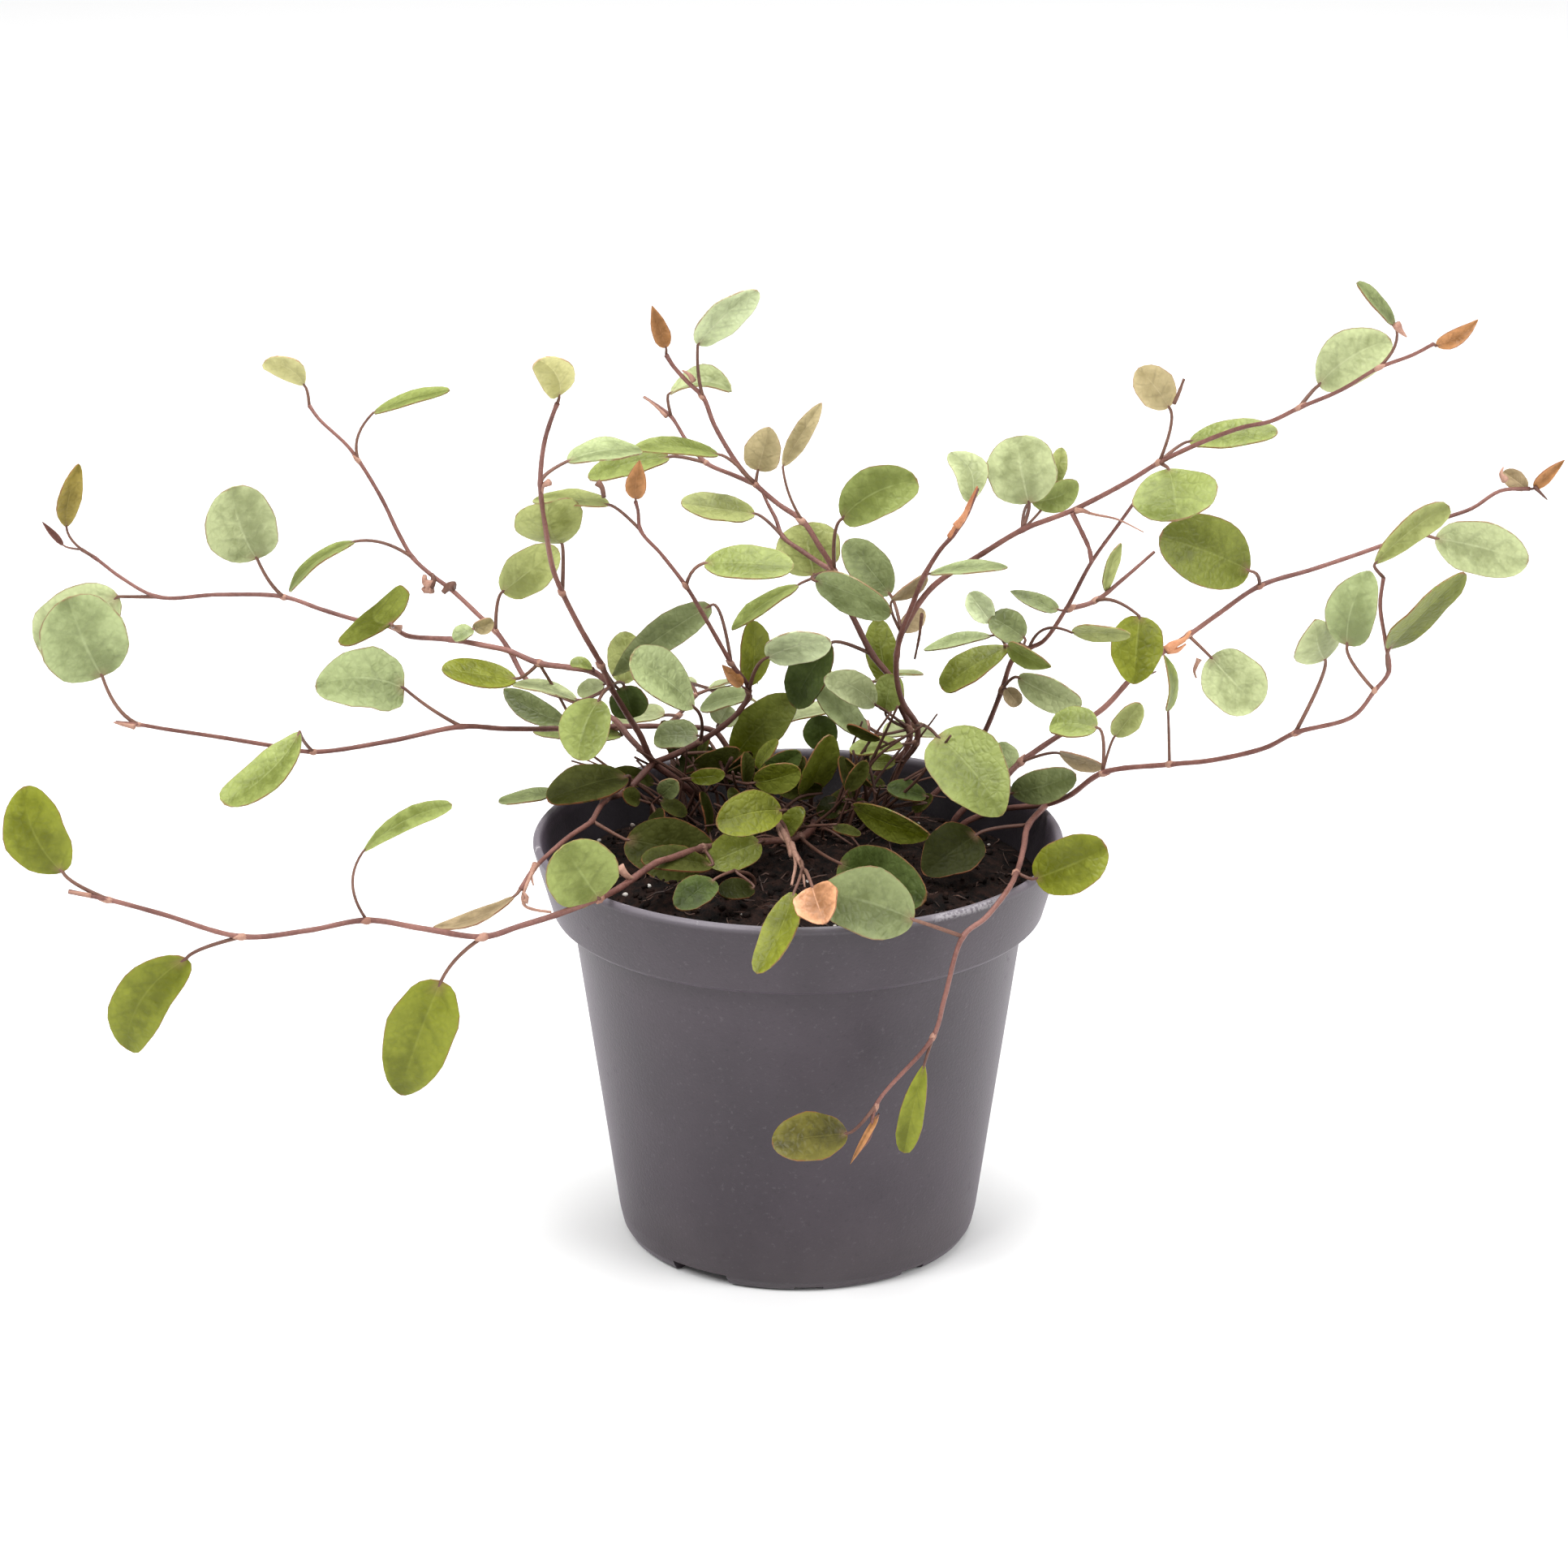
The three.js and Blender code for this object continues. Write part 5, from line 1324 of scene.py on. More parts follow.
RIGHT_LOW = [
    Runner(0.86, (37, 27), Bark.COPPER, [
        (45, 101, 22), (56, 102.5, 15), (61, 104.5, 10), (68.5, 110, 2), (83.5, 112, -12), (93, 113, -21),
        (105, 116, -31), (111.5, 119.5, -37), (124.5, 123.5, -47), (129, 129.5, -50), (132, 134, -52),
        (131, 141, -53), (129.5, 149.5, -54), (130, 156, -55),
    ], [
        Leaf(13, (128, 159, -55), (144, 172.5, -52), 7.5, 40, Look.YELLOW, 0.11, fold=0.1, form=Form.WEDGE),
        Leaf(10, (132, 139, -54), (148, 157, -60), 12, 62, Look.OLIVE, 0.13, fold=0.1),
        Leaf(9, (122.5, 140, -46), (127, 157.5, -44), 11, 10, Look.SAGE, 0.1, form=Form.OVATE),
        Leaf(7, (117.5, 137, -40), (115, 146.5, -48), 11, 20, Look.PALE, 0.08, fold=-0.2, form=Form.POINTED),
        Leaf(4, (83, 124.5, -12), (82, 138, -10), 6, 68, Look.BRIGHT, fold=0.1, arch=0.12, form=Form.POINTED),
        Leaf(3, (71, 118.5, 0), (76.5, 126.5, -4), 6, 20, Look.YELLOW),
        Leaf(3, (67, 121, 6), (56.5, 122, 10), 10, 45, Look.BRIGHT),
    ]),
    Runner(0.86, None, Bark.COPPER, [
        (56, 102.5, 15), (52, 97.5, 3), (51, 92, -12), (49.5, 86, -29), (47, 81, -42), (42.5, 75, -49),
        (37.5, 70.5, -54), (33.5, 55.5, -57), (31, 46, -58), (18, 29, -58), (16.5, 21, -58), (14, 17.5, -58),
    ], [
        Leaf(3, (53.5, 84.5, -32), (69.5, 92, -38), 12.5, 0, Look.LIME, -0.02, form=Form.ROUND),
        Leaf(1, (40.5, 95.5, -4), (28.5, 86, -14), 12.5, 15, Look.SHADE, form=Form.OVATE),
        Leaf(6, (26.5, 74.5, -58), (5, 81, -62), 15, 0, Look.MOSS, -0.05),
        Leaf(8, (29, 39, -58), (24.5, 17, -57), 5.5, 0, Look.LIME, -0.01, form=Form.WEDGE),
        Leaf(9, (11.5, 22, -60), (-6, 19.5, -62), 11, 15, Look.AUTUMN),
        Leaf(11, (18.5, 26.5, -58), (12, 14, -58), 1.5, 0, Look.BRONZE, form=Form.BUD),
    ]),
]

FRONT_LONG = [
    Runner(1.05, (4, 26), Bark.COPPER, [
        (3, 96.5, 16), (0.5, 94.5, 9), (-8, 93.5, 0), (-21.5, 92, -12), (-29, 89.5, -22), (-32, 88.5, -26),
        (-41, 82, -40), (-45, 80, -46), (-54.5, 76, -53), (-63.5, 73, -58), (-71.5, 70.5, -62),
        (-85.5, 72.5, -66),
        (-98, 74.5, -69), (-111.5, 72, -73), (-126.5, 70.5, -77), (-144.5, 76, -82), (-156.5, 79.5, -86),
        (-165.5, 81.5, -88),
    ], [
        Leaf(16, (-166.5, 86, -88), (-174.5, 106.5, -88), 13, 0, Look.LIME, 0.1, form=Form.OVAL),
        Leaf(14, (-139.5, 65, -78), (-154, 42.5, -74), 12, 0, Look.LIME, -0.12, form=Form.ROUND),
        Leaf(12, (-98.5, 91, -70), (-78, 102.5, -66), 4.5, 0, Look.BRIGHT, 0.08, fold=0.1, arch=0.1,
             form=Form.WEDGE,
             by=(-101, 83, -69.5)),
        Leaf(10, (-81.5, 59.5, -62), (-91.5, 31, -60), 15, 0, Look.LIME, -0.02, form=Form.OVATE,
             by=(-77.5, 65.5, -62)),
        Leaf(7, (-45, 79.5, -48), (-53, 92.5, -54), 16, 0, Look.BRIGHT, 0.01, form=Form.ROUND),
        Leaf(2, (-8.5, 93.5, -6), (-20.5, 88, -14), 9.5, 20, Look.OLIVE),
        Leaf(3, (-19.5, 88, -17), (-35.5, 89, -23), 9, 50, Look.DARK),
        Leaf(1, (9, 88.5, -22), (28.5, 79.5, -44), 14, 0, Look.DEEP),
    ]),
]

SPRIG_FRONT = [
    Runner(0.63, (-8, 16), Bark.COPPER, [
        (-6, 99.5, 5), (-3.5, 98, -4), (-1.5, 93, -18), (0.5, 89, -28), (1.5, 86, -36),
    ], [
        Leaf(4, (3, 83, -64), (6, 74, -72), 10, 10, Look.PINK, fold=0.25, form=Form.OVATE),
        Leaf(3, (-1, 81.5, -58), (-9.5, 61.5, -70), 8, 30, Look.LIME, 0.07, form=Form.OVAL),
        Leaf(0, (-3.5, 101, -8), (-18.5, 97.5, -18), 10, 0, Look.LIME, -0.06),
    ]),
]

SPRIG_LOW_FRONT = [
    Runner(0.8, (-10, -16), Bark.BROWN, [
        (-14.5, 86.5, -24),
    ], [
        Leaf(0, (-19, 84.5, -32), (-27.5, 77.5, -42), 8, 25, Look.DEEP),
        Leaf(0, (-10, 82.5, -26), (-18, 81, -32), 6, 35, Look.SHADE),
    ]),
]

SPRIG_CENTRE_RIGHT = [
    Runner(0.8, (24, 22), Bark.BROWN, [
        (18.5, 101.5, 20), (14.5, 103, 18),
    ], [
        Leaf(1, (12, 102, 16), (30, 95, 2), 9, 45, Look.OLIVE),
        Leaf(0, (29, 104.5, 18), (20, 106.5, 16), 6, 40, Look.DEEP),
        Leaf(1, (9.5, 100.5, 20), (4.5, 102.5, 22), 6, 20, Look.SHADE),
    ]),
]

SPRIG_CENTRE_LEFT = [
    Runner(0.8, (-14, 32), Bark.BROWN, [
        (-16.5, 109.5, 27), (-15, 113.5, 24),
    ], [
        Leaf(1, (-14.5, 113.5, 36), (-1, 128, 34), 10.5, 0, Look.OLIVE, 0.04, form=Form.OVAL),
        Leaf(0, (-8.5, 109, 22), (0.5, 115, 18), 6, 20, Look.DEEP),
        Leaf(0, (-10, 107.5, 14), (0.5, 110.5, 12), 8, 30, Look.OLIVE),
        Leaf(0, (-22.5, 119, 40), (-32.5, 118.5, 42), 9, 40, Look.MOSS),
    ]),
]

SPRIG_CENTRE = [
    Runner(0.8, (3, 38), Bark.BROWN, [
        (3.5, 109.5, 33), (5, 114.5, 30),
    ], [
        Leaf(0, (1.5, 104, 24), (7, 119, 18), 9, 42, Look.OLIVE),
        Leaf(1, (5.5, 115.5, 30), (4.5, 123.5, 30), 8, 0, Look.DEEP),
    ]),
]

SPRIG_LEFT = [
    Runner(0.7, (-34, 22), Bark.BROWN, [
        (-33, 102.5, 18),
    ], [
        Leaf(0, (-31, 104.5, 14), (-27.5, 108, 10), 5, 10, Look.MOSS),
        Leaf(0, (-35.5, 103.5, 16), (-39.5, 105, 12), 4.5, 20, Look.DARK),
        Leaf(0, (-32.5, 101, 10), (-31, 97.5, 4), 4.5, 20, Look.SHADE),
    ]),
]

BACK_LEFT = [
    Runner(0.85, (-26, 39), Bark.BROWN, [
        (-29.5, 120, 53), (-27, 123.5, 62), (-23, 128.5, 70), (-24, 131, 78), (-20, 130, 85),
    ], [
        Leaf(4, (-19, 129.5, 86), (-9, 126.5, 90), 9, -80, Look.SAGE),
        Leaf(4, (-23, 131, 86), (-33, 129, 92), 9, 80, Look.OLIVE),
        Leaf(3, (-26, 133, 76), (-37, 133, 74), 11, 85, Look.BRIGHT),
        Leaf(2, (-20, 130, 70), (-9, 131.5, 72), 11, -85, Look.SAGE),
        Leaf(1, (-30, 124, 64), (-42, 121, 66), 12, 70, Look.BRIGHT),
    ]),
]

BACK_RIGHT = [
    Runner(0.85, (13, 45), Bark.BROWN, [
        (15.5, 121, 58), (12, 125, 66), (14, 130, 74), (11, 132, 82), (13, 131, 88),
    ], [
        Leaf(4, (13.5, 130.5, 88), (21, 128, 92), 8, -80, Look.BRIGHT),
        Leaf(3, (8, 133.5, 80), (-3, 133, 80), 11, 85, Look.SAGE),
        Leaf(2, (17, 132, 72), (28, 133, 72), 11, -85, Look.BRIGHT),
        Leaf(1, (9, 125, 66), (-3, 122, 68), 12, 75, Look.OLIVE),
        Leaf(0, (19, 119.5, 60), (31, 119, 62), 12, -70, Look.SAGE),
    ]),
]

PLANT: list[tuple[str, list[Runner]]] = [
    ("stem_fan_left", FAN_LEFT),
    ("stem_low_left", LOW_LEFT),
    ("stem_fan_top", FAN_TOP),
    ("stem_centre", CENTRE),
    ("stem_right_fan", RIGHT_FAN),
    ("stem_right_far", RIGHT_FAR),
    ("stem_right_low", RIGHT_LOW),
    ("stem_front_long", FRONT_LONG),
    ("sprig_front", SPRIG_FRONT),
    ("sprig_low_front", SPRIG_LOW_FRONT),
    ("sprig_centre_right", SPRIG_CENTRE_RIGHT),
    ("sprig_centre_left", SPRIG_CENTRE_LEFT),
    ("sprig_centre", SPRIG_CENTRE),
    ("sprig_left", SPRIG_LEFT),
    ("stem_back_left", BACK_LEFT),
    ("stem_back_right", BACK_RIGHT),
]

# Leafless shoots, bracts and dried tips, by the piece that they are part of
TWIGS: dict[str, list[Twig]] = {
    "stem_fan_left": [
        Twig(Bark.SHEATH, 0.9, 0.2, [(-55, 178, -15), (-56.5, 177, -14), (-56.5, 175.5, -13.5)]),
        Twig(Bark.SHEATH, 1, 0.3, [(-88.5, 144, 36), (-90.5, 144.5, 36.5), (-92, 145, 37)]),
        Twig(Bark.SHEATH, 1.5, 0.5, [(-81.5, 154, 68.5), (-83, 155, 69.5), (-83, 156.5, 69.5)]),
        Twig(Bark.STALK, 1.2, 0.4, [(-82, 154, 69), (-81, 155.5, 69), (-81.5, 157, 69.5)]),
        Twig(Bark.SHEATH, 1.3, 0.5, [(-81.5, 153.5, 68.5), (-83, 153, 69), (-83.5, 153.5, 69.5)]),
        Twig(Bark.STALK, 0.7, 1.3, [(-79, 152.5, 68), (-77.5, 154, 68), (-76.5, 154, 67.5)]),
        Twig(Bark.STALK, 0.5, 0.8, [(-43, 174.5, -11.5), (-43.5, 177, -11.5), (-44.5, 178, -11.5)]),
        Twig(Bark.SHEATH, 0.55, 0.3, [
            (-59, 88, -27), (-61, 84.5, -33.5), (-62.5, 80, -36.5), (-62, 78, -36.5), (-59.5, 77, -36.5),
            (-56, 76.5, -36.5),
        ]),
        Twig(Bark.SHEATH, 0.9, 0.15, [(-59.5, 88, -28.5), (-60.5, 85.5, -32), (-60, 83, -34)]),
        Twig(Bark.SHEATH, 0.8, 0.2, [(-62, 79, -36.5), (-61.5, 80, -36.5), (-62.5, 81.5, -36.5)]),
    ],
    "stem_low_left": [
        Twig(Bark.SHEATH, 0.7, 0.2, [(-149, 121, -30), (-151.5, 121.5, -31.5), (-153.5, 122, -32.5)]),
    ],
    "stem_fan_top": [
        Twig(Bark.SHEATH, 0.8, 0.2, [(-23, 201, 43.5), (-24, 202.5, 43.5), (-25.5, 203.5, 44)]),
        Twig(Bark.SHEATH, 0.5, 0.15, [(-29, 193, 57), (-31.5, 195.5, 59.5), (-34, 197.5, 61.5)]),
    ],
    "stem_centre": [
        Twig(Bark.TIP, 0.9, 0.2, [(35, 168, -8), (36.5, 170, -9.5), (38, 173.5, -11), (39.5, 177, -12.5)]),
        Twig(Bark.TIP, 0.6, 0.3, [(33.5, 165.5, -6), (34.5, 167.5, -7.5), (36, 170, -9)]),
        Twig(Bark.BROWN, 0.45, 0.25, [(27.5, 147.5, 7.5), (27, 142.5, 10.5), (26, 137, 15)]),
        Twig(Bark.STALK, 0.5, 0.3, [(82.5, 196, -23.5), (83.5, 198.5, -24.5), (84.5, 201.5, -25.5)]),
        Twig(Bark.SHEATH, 1.1, 0.15, [(130.5, 214, -48), (131.5, 212.5, -48), (133, 211, -48.5)]),
        Twig(Bark.SHEATH, 0.35, 0.15,
             [(62, 171.5, -8), (66, 170.5, -9.5), (70.5, 169.5, -11.5), (76.5, 166.5, -14)]),
        Twig(Bark.SHEATH, 0.9, 0.2, [(61.5, 171.5, -8), (63, 171.5, -9), (64.5, 171, -9)]),
        Twig(Bark.COPPER, 0.55, 0.5,
             [(60.5, 171, -7.5), (62.5, 167, -7.5), (64.5, 162.5, -7.5), (65, 159.5, -7.5)]),
    ],
    "stem_right_far": [
        Twig(Bark.TIP, 1.25, 0.25,
             [(82, 139, 38.5), (84, 140.5, 39.5), (86, 141.5, 40), (87.5, 143.5, 40.5)]),
        Twig(Bark.TIP, 1, 0.2, [(82.5, 139, 38.5), (84.5, 139, 39.5), (86.5, 140.5, 40)]),
        Twig(Bark.SHEATH, 1, 0.15, [(156, 178.5, 63), (155, 180, 62.5), (155.5, 181.5, 63)]),
        Twig(Bark.STALK, 0.6, 0.15, [(162.5, 177, 64.5), (164, 175.5, 64.5), (165.5, 174, 64.5)]),
        Twig(Bark.SHEATH, 0.7, 0.2, [(89.5, 137, 40), (88.5, 134, 39.5), (89, 132.5, 39.5)]),
        Twig(Bark.BROWN, 0.45, 0.2, [(75.5, 132.5, 36.5), (77.5, 133, 37), (80, 134, 37.5)]),
    ],
    "stem_front_long": [
        Twig(Bark.SHEATH, 1.1, 0.4, [(-40.5, 87.5, -36.5), (-39, 85.5, -36.5), (-37.5, 84.5, -35)]),
        Twig(Bark.SHEATH, 0.6, 0.2, [(-160.5, 80.5, -87.5), (-163, 81, -88), (-165.5, 81.5, -88.5)]),
    ],
    "sprig_front": [
        Twig(Bark.SHEATH, 0.93, 0.56, [(-5, 98.5, 1), (-2.5, 94, -15.5), (-1.5, 90, -24.5)]),
        Twig(Bark.SHEATH, 0.81, 0.28, [(-1.5, 93, -18.5), (-0.5, 88.5, -28.5), (-1.5, 83, -36.5)]),
        Twig(Bark.SHEATH, 0.68, 0.21, [(-1, 91, -23.5), (1, 86.5, -34), (1.5, 82.5, -36.5)]),
        Twig(Bark.SHEATH, 0.74, 0.21, [(-4.5, 98, -2.5), (-4, 95, -11.5), (-2.5, 93, -17)]),
    ],
}

# Perlite: its place on the soil and its radius, in millimetres
PERLITE: list[tuple[float, float, float]] = [
    (-38.5, 37.0, 0.7), (-46.0, 27.0, 0.6), (-33.4, -11.8, 0.7), (-38.8, -13.9, 0.6), (-12.5, -30.5, 0.5),
    (8.0, -35.0, 0.6), (21.0, -28.0, 0.5), (33.0, -17.0, 0.5), (40.0, 2.0, 0.6), (-5.0, 45.0, 0.6),
    (22.0, 42.0, 0.5), (-28.0, 39.0, 0.5), (44.0, 22.0, 0.5), (-46.0, 17.0, 0.5), (2.0, -12.0, 0.4),
    (-20.0, -5.0, 0.5), (15.0, 8.0, 0.4), (-9.0, 22.0, 0.5), (28.0, 30.0, 0.5), (-40.0, -10.0, 0.4),
]

# Notches under the foot: turn in degrees, width and height in millimetres
NOTCHES: list[tuple[float, float, float]] = [
    (-124, 14.5, 3), (-86.5, 6.4, 1.2), (-49, 6.6, 1.7), (-4, 14.5, 3),
    (41, 6.4, 1.2), (86, 14.5, 3), (131, 6.4, 1.2), (176, 14.5, 3),
]


@dataclass
class Pot:
    """The nursery pot: a tapered wall under a flared collar, on a notched foot ring."""

    palette: Palette
    steps: int = 144
    rounding: float = 0.45
    notch_deep: float = 14.0
    notch_radius: float = 39.0
    notches: list[tuple[float, float, float]] = field(default_factory=lambda: NOTCHES)
    drains: int = 8
    drain_ring: float = 29.0
    drain_radius: float = 3.0
    drain_middle_radius: float = 4.0
    drain_sides: int = 24
    drain_middle_high: float = 4.5
    drain_deep: float = 6.0
    profile: Outline = field(
        default_factory=lambda: [
            (0, 3.8), (35, 3.8), (35, 0), (37.5, 0), (39.2, 0.7), (40.4, 2.6), (41.2, 6.2), (51.3, 78),
            (54.6, 78), (55.6, 78.9), (59.8, 93.6), (60, 94.4), (59.5, 95.2), (58.9, 95.5), (58.3, 95.2),
            (58, 94.4), (54.2, 79.4), (50.1, 77.2), (40, 7.5), (38, 5.2), (0, 5.2),
        ]
    )

    def build(self) -> bpy.types.Object:
        """Turns the wall, cuts its openings and dresses it.

        Returns:
            The pot.
        """
        wall = ended(turned(self.profile, self.steps, self.rounding), "turned")
        shell = bpy.data.objects.new("shell", wall)
        cutter = bpy.data.objects.new("cutter", self.openings())
        for item in (shell, cutter):
            bpy.context.scene.collection.objects.link(item)
        cut = shell.modifiers.new("openings", "BOOLEAN")
        cut.operation = "DIFFERENCE"
        cut.solver = "EXACT"
        cut.object = cutter
        settled = shell.evaluated_get(bpy.context.evaluated_depsgraph_get())
        bm = bmesh.new()
        bm.from_mesh(settled.to_mesh())
        for item in (shell, cutter):
            bpy.data.objects.remove(item)
        for face in bm.faces:
            face.smooth = True
            face.material_index = 0
        for edge in bm.edges:
            edge.smooth = edge.calc_face_angle(math.pi) < CREASE
        slots = [self.palette.get("pot_plastic")]
        return finish_piece("pot_shell", ended(bm, "pot_shell"), slots, ("pot",))

    def openings(self) -> bpy.types.Mesh:
        """What the notches and the drain holes cut away.

        Returns:
            Its mesh.
        """
        bm = bmesh.new()
        for turn, wide, high in self.notches:
            size = Matrix.Diagonal((self.notch_deep * MM, wide * MM, 2 * high * MM, 1))
            out = Matrix.Translation((self.notch_radius * MM, 0, 0))
            place = Matrix.Rotation(math.radians(turn), 4, "Z") @ out
            bmesh.ops.create_cube(bm, size=1.0, matrix=place @ size)
        holes = [(0.0, 0.0, self.drain_middle_radius)]
        for number in range(self.drains):
            turn = number * math.tau / self.drains
            x, y = self.drain_ring * math.cos(turn), self.drain_ring * math.sin(turn)
            holes.append((x, y, self.drain_radius))
        for x, y, radius in holes:
            bmesh.ops.create_cone(
                bm,
                cap_ends=True,
                segments=self.drain_sides,
                radius1=radius * MM,
                radius2=radius * MM,
                depth=self.drain_deep * MM,
                matrix=Matrix.Translation((x * MM, y * MM, self.drain_middle_high * MM)),
            )
        return ended(bm, "openings")


@dataclass
class Soil:
    """The peat in the pot, with loose crumbs, fibres and perlite on top.

    Lengths are in millimetres, and a rate is how fast a relief changes over one of them. Each grain is
    stretched three ways within grain_long, grain_wide and grain_high, and stands up by a share of its
    size. fibre_marks are the places along a fibre that it is bent at.
    """

    palette: Palette
    steps: int = 300
    rings: int = 72
    crumbs: int = 900
    crumb_least: float = 0.3
    crumb_range: float = 0.9
    crumb_power: float = 2.2
    fibres: int = 240
    fibre_long: Span = (1.5, 7.0)
    fibre_radius: Span = (0.09, 0.26)
    grain_rough: float = 0.3
    grain_waves: float = 900.0
    grain_long: Span = (0.8, 1.3)
    grain_wide: Span = (0.7, 1.1)
    grain_high: Span = (0.5, 0.9)
    crumb_stands: float = 0.2
    perlite_stands: float = 0.3
    clod_rate: float = 0.17
    crumb_rate: float = 0.62
    crumb_high: float = 0.75
    pit_rate: float = 0.31
    pit_deep: float = 1.2
    pit_from: float = 0.25
    edge_power: float = 8
    fibre_bend: float = 0.5
    fibre_marks: tuple[float, ...] = (-0.5, -0.2, 0.1, 0.5)
    fibre_lift: float = 0.15
    fibre_sides: int = 4
    perlites: list[tuple[float, float, float]] = field(default_factory=lambda: PERLITE)
    profile: Outline = field(
        default_factory=lambda: [(0, 5.5), (37.7, 5.5), (39.65, 7.7), (49.8, 77.35), (53.95, 79.65)]
    )

    def build(self) -> list[bpy.types.Object]:
        """Builds the dome and everything that lies on it.

        Returns:
            The pieces.
        """
        chance = random.Random(SEED)
        return [self.dome(), self.crumb(chance), self.fibre(chance), self.perlite(chance)]

    def top(self, x: float, y: float) -> float:
        """Height of the crumbly surface at a place, in millimetres."""
        inner = max(0.0, 1 - (math.hypot(x, y) / SOIL_EDGE_RADIUS) ** self.edge_power)
        clod = noise.fractal(Vector((x * self.clod_rate, y * self.clod_rate, 3.7)), 0.9, 2.1, 3)
        crumb = noise.fractal(Vector((x * self.crumb_rate, y * self.crumb_rate, 9.1)), 0.6, 2.2, 4)
        crumb *= self.crumb_high
        hollow = noise.noise(Vector((x * self.pit_rate, y * self.pit_rate, 1.9)))
        pit = -self.pit_deep * max(0.0, hollow - self.pit_from)
        return soil_high(x, y) + (clod + crumb + pit) * inner

    def dome(self) -> bpy.types.Object:
        """The body of the soil, closed all round, with a crumbly top.

        Returns:
            The piece, which stands for the soil's solid.
        """
        line = list(self.profile)
        shares = [1 - i / self.rings for i in range(self.rings + 1)]
        line += [(SOIL_EDGE_RADIUS * share, SOIL_EDGE_HIGH + 0.1) for share in shares]
        bm = turned(line, self.steps)
        for vert in bm.verts:
            if vert.co.z > SOIL_EDGE_HIGH * MM:
                vert.co.z = self.top(vert.co.x / MM, vert.co.y / MM) * MM
        for face in bm.faces:
            face.smooth = True
        mesh = ended(bm, "soil_dome")
        return finish_piece("soil_dome", mesh, [self.palette.get("peat")], ("soil",))

    def spot(self, chance: random.Random) -> tuple[float, float]:
        """A place on the soil by chance."""
        radius, turn = (SOIL_EDGE_RADIUS - 2) * math.sqrt(chance.random()), chance.uniform(0, math.tau)
        return radius * math.cos(turn), radius * math.sin(turn)

    def grain(
        self, growth: Growth, where: Vector, size: float, finish: str, fine: int, chance: random.Random
    ) -> None:
        """Adds one irregular grain.

        Args:
            growth: the mesh that it is added to.
            where: its middle, in millimetres.
            size: its radius.
            finish: its finish.
            fine: how finely it is divided.
            chance: where its shape comes from.
        """
        part = new_part()
        turn = Matrix.Rotation(chance.uniform(0, math.tau), 4, "Z")
        turn = turn @ Matrix.Rotation(chance.uniform(0, 3), 4, "X")
        sizes = [chance.uniform(*span) for span in (self.grain_long, self.grain_wide, self.grain_high)]
        shape = Matrix.Diagonal((*sizes, 1))
        matrix = Matrix.Translation(where * MM) @ turn @ shape
        bmesh.ops.create_icosphere(part, subdivisions=fine, radius=size * MM, matrix=matrix)
        for vert in part.verts:
            out = vert.co - where * MM
            vert.co = where * MM + out * (1 + self.grain_rough * noise.noise(vert.co * self.grain_waves))
        growth.finish(part, finish)

    def crumb(self, chance: random.Random) -> bpy.types.Object:
        """Loose crumbs, many small and a few large."""
        growth = Growth()
        for _ in range(self.crumbs):
            x, y = self.spot(chance)
            size = self.crumb_least + self.crumb_range * chance.random() ** self.crumb_power
            where = Vector((x, y, self.top(x, y) + size * self.crumb_stands))
            self.grain(growth, where, size, "peat", 1, chance)
        return growth.piece("soil_crumbs", self.palette, "potting_soil")

    def fibre(self, chance: random.Random) -> bpy.types.Object:
        """Short root and bark fibres that lie on the soil."""
        growth = Growth()
        for _ in range(self.fibres):
            x, y = self.spot(chance)
            turn, long = chance.uniform(0, math.tau), chance.uniform(*self.fibre_long)
            bend = chance.uniform(-self.fibre_bend, self.fibre_bend)
            path = []
            for share in self.fibre_marks:
                heading = turn + bend * share
                px, py = x + long * share * math.cos(heading), y + long * share * math.sin(heading)
                shrink = min(1.0, (SOIL_EDGE_RADIUS - 1.5) / max(1.0, math.hypot(px, py)))
                px, py = px * shrink, py * shrink
                path.append(Vector((px, py, self.top(px, py) + self.fibre_lift + chance.uniform(0, 0.5))))
            radius = chance.uniform(*self.fibre_radius)
            growth.tube(path, [radius * 0.7, radius, radius, radius * 0.5], self.fibre_sides, "fibre")
        return growth.piece("soil_fibres", self.palette, "potting_soil")

    def perlite(self, chance: random.Random) -> bpy.types.Object:
        """White perlite grains."""
        growth = Growth()
        for x, y, size in self.perlites:
            where = Vector((x, y, self.top(x, y) + size * self.perlite_stands))
            self.grain(growth, where, size, "perlite", 2, chance)
        return growth.piece("perlite", self.palette, "potting_soil")


@dataclass(frozen=True)
class Clump:
    """Where a clump of inner shoots stands, and the rows between which their tips end."""

    foot: tuple[float, float]
    spread: float
    low: Point
    high: Point
    shoots: int


CLUMPS: list[Clump] = [
    Clump((12, 22), 7, (12, 106, 2), (38, 126, 34), 16),
    Clump((-22, 34), 8, (-52, 104, 16), (-8, 118, 48), 20),
    Clump((0, 28), 14, (-20, 98, 8), (34, 112, 40), 24),
    Clump((-4, 14), 12, (-24, 90, -8), (16, 98, 20), 12),
]


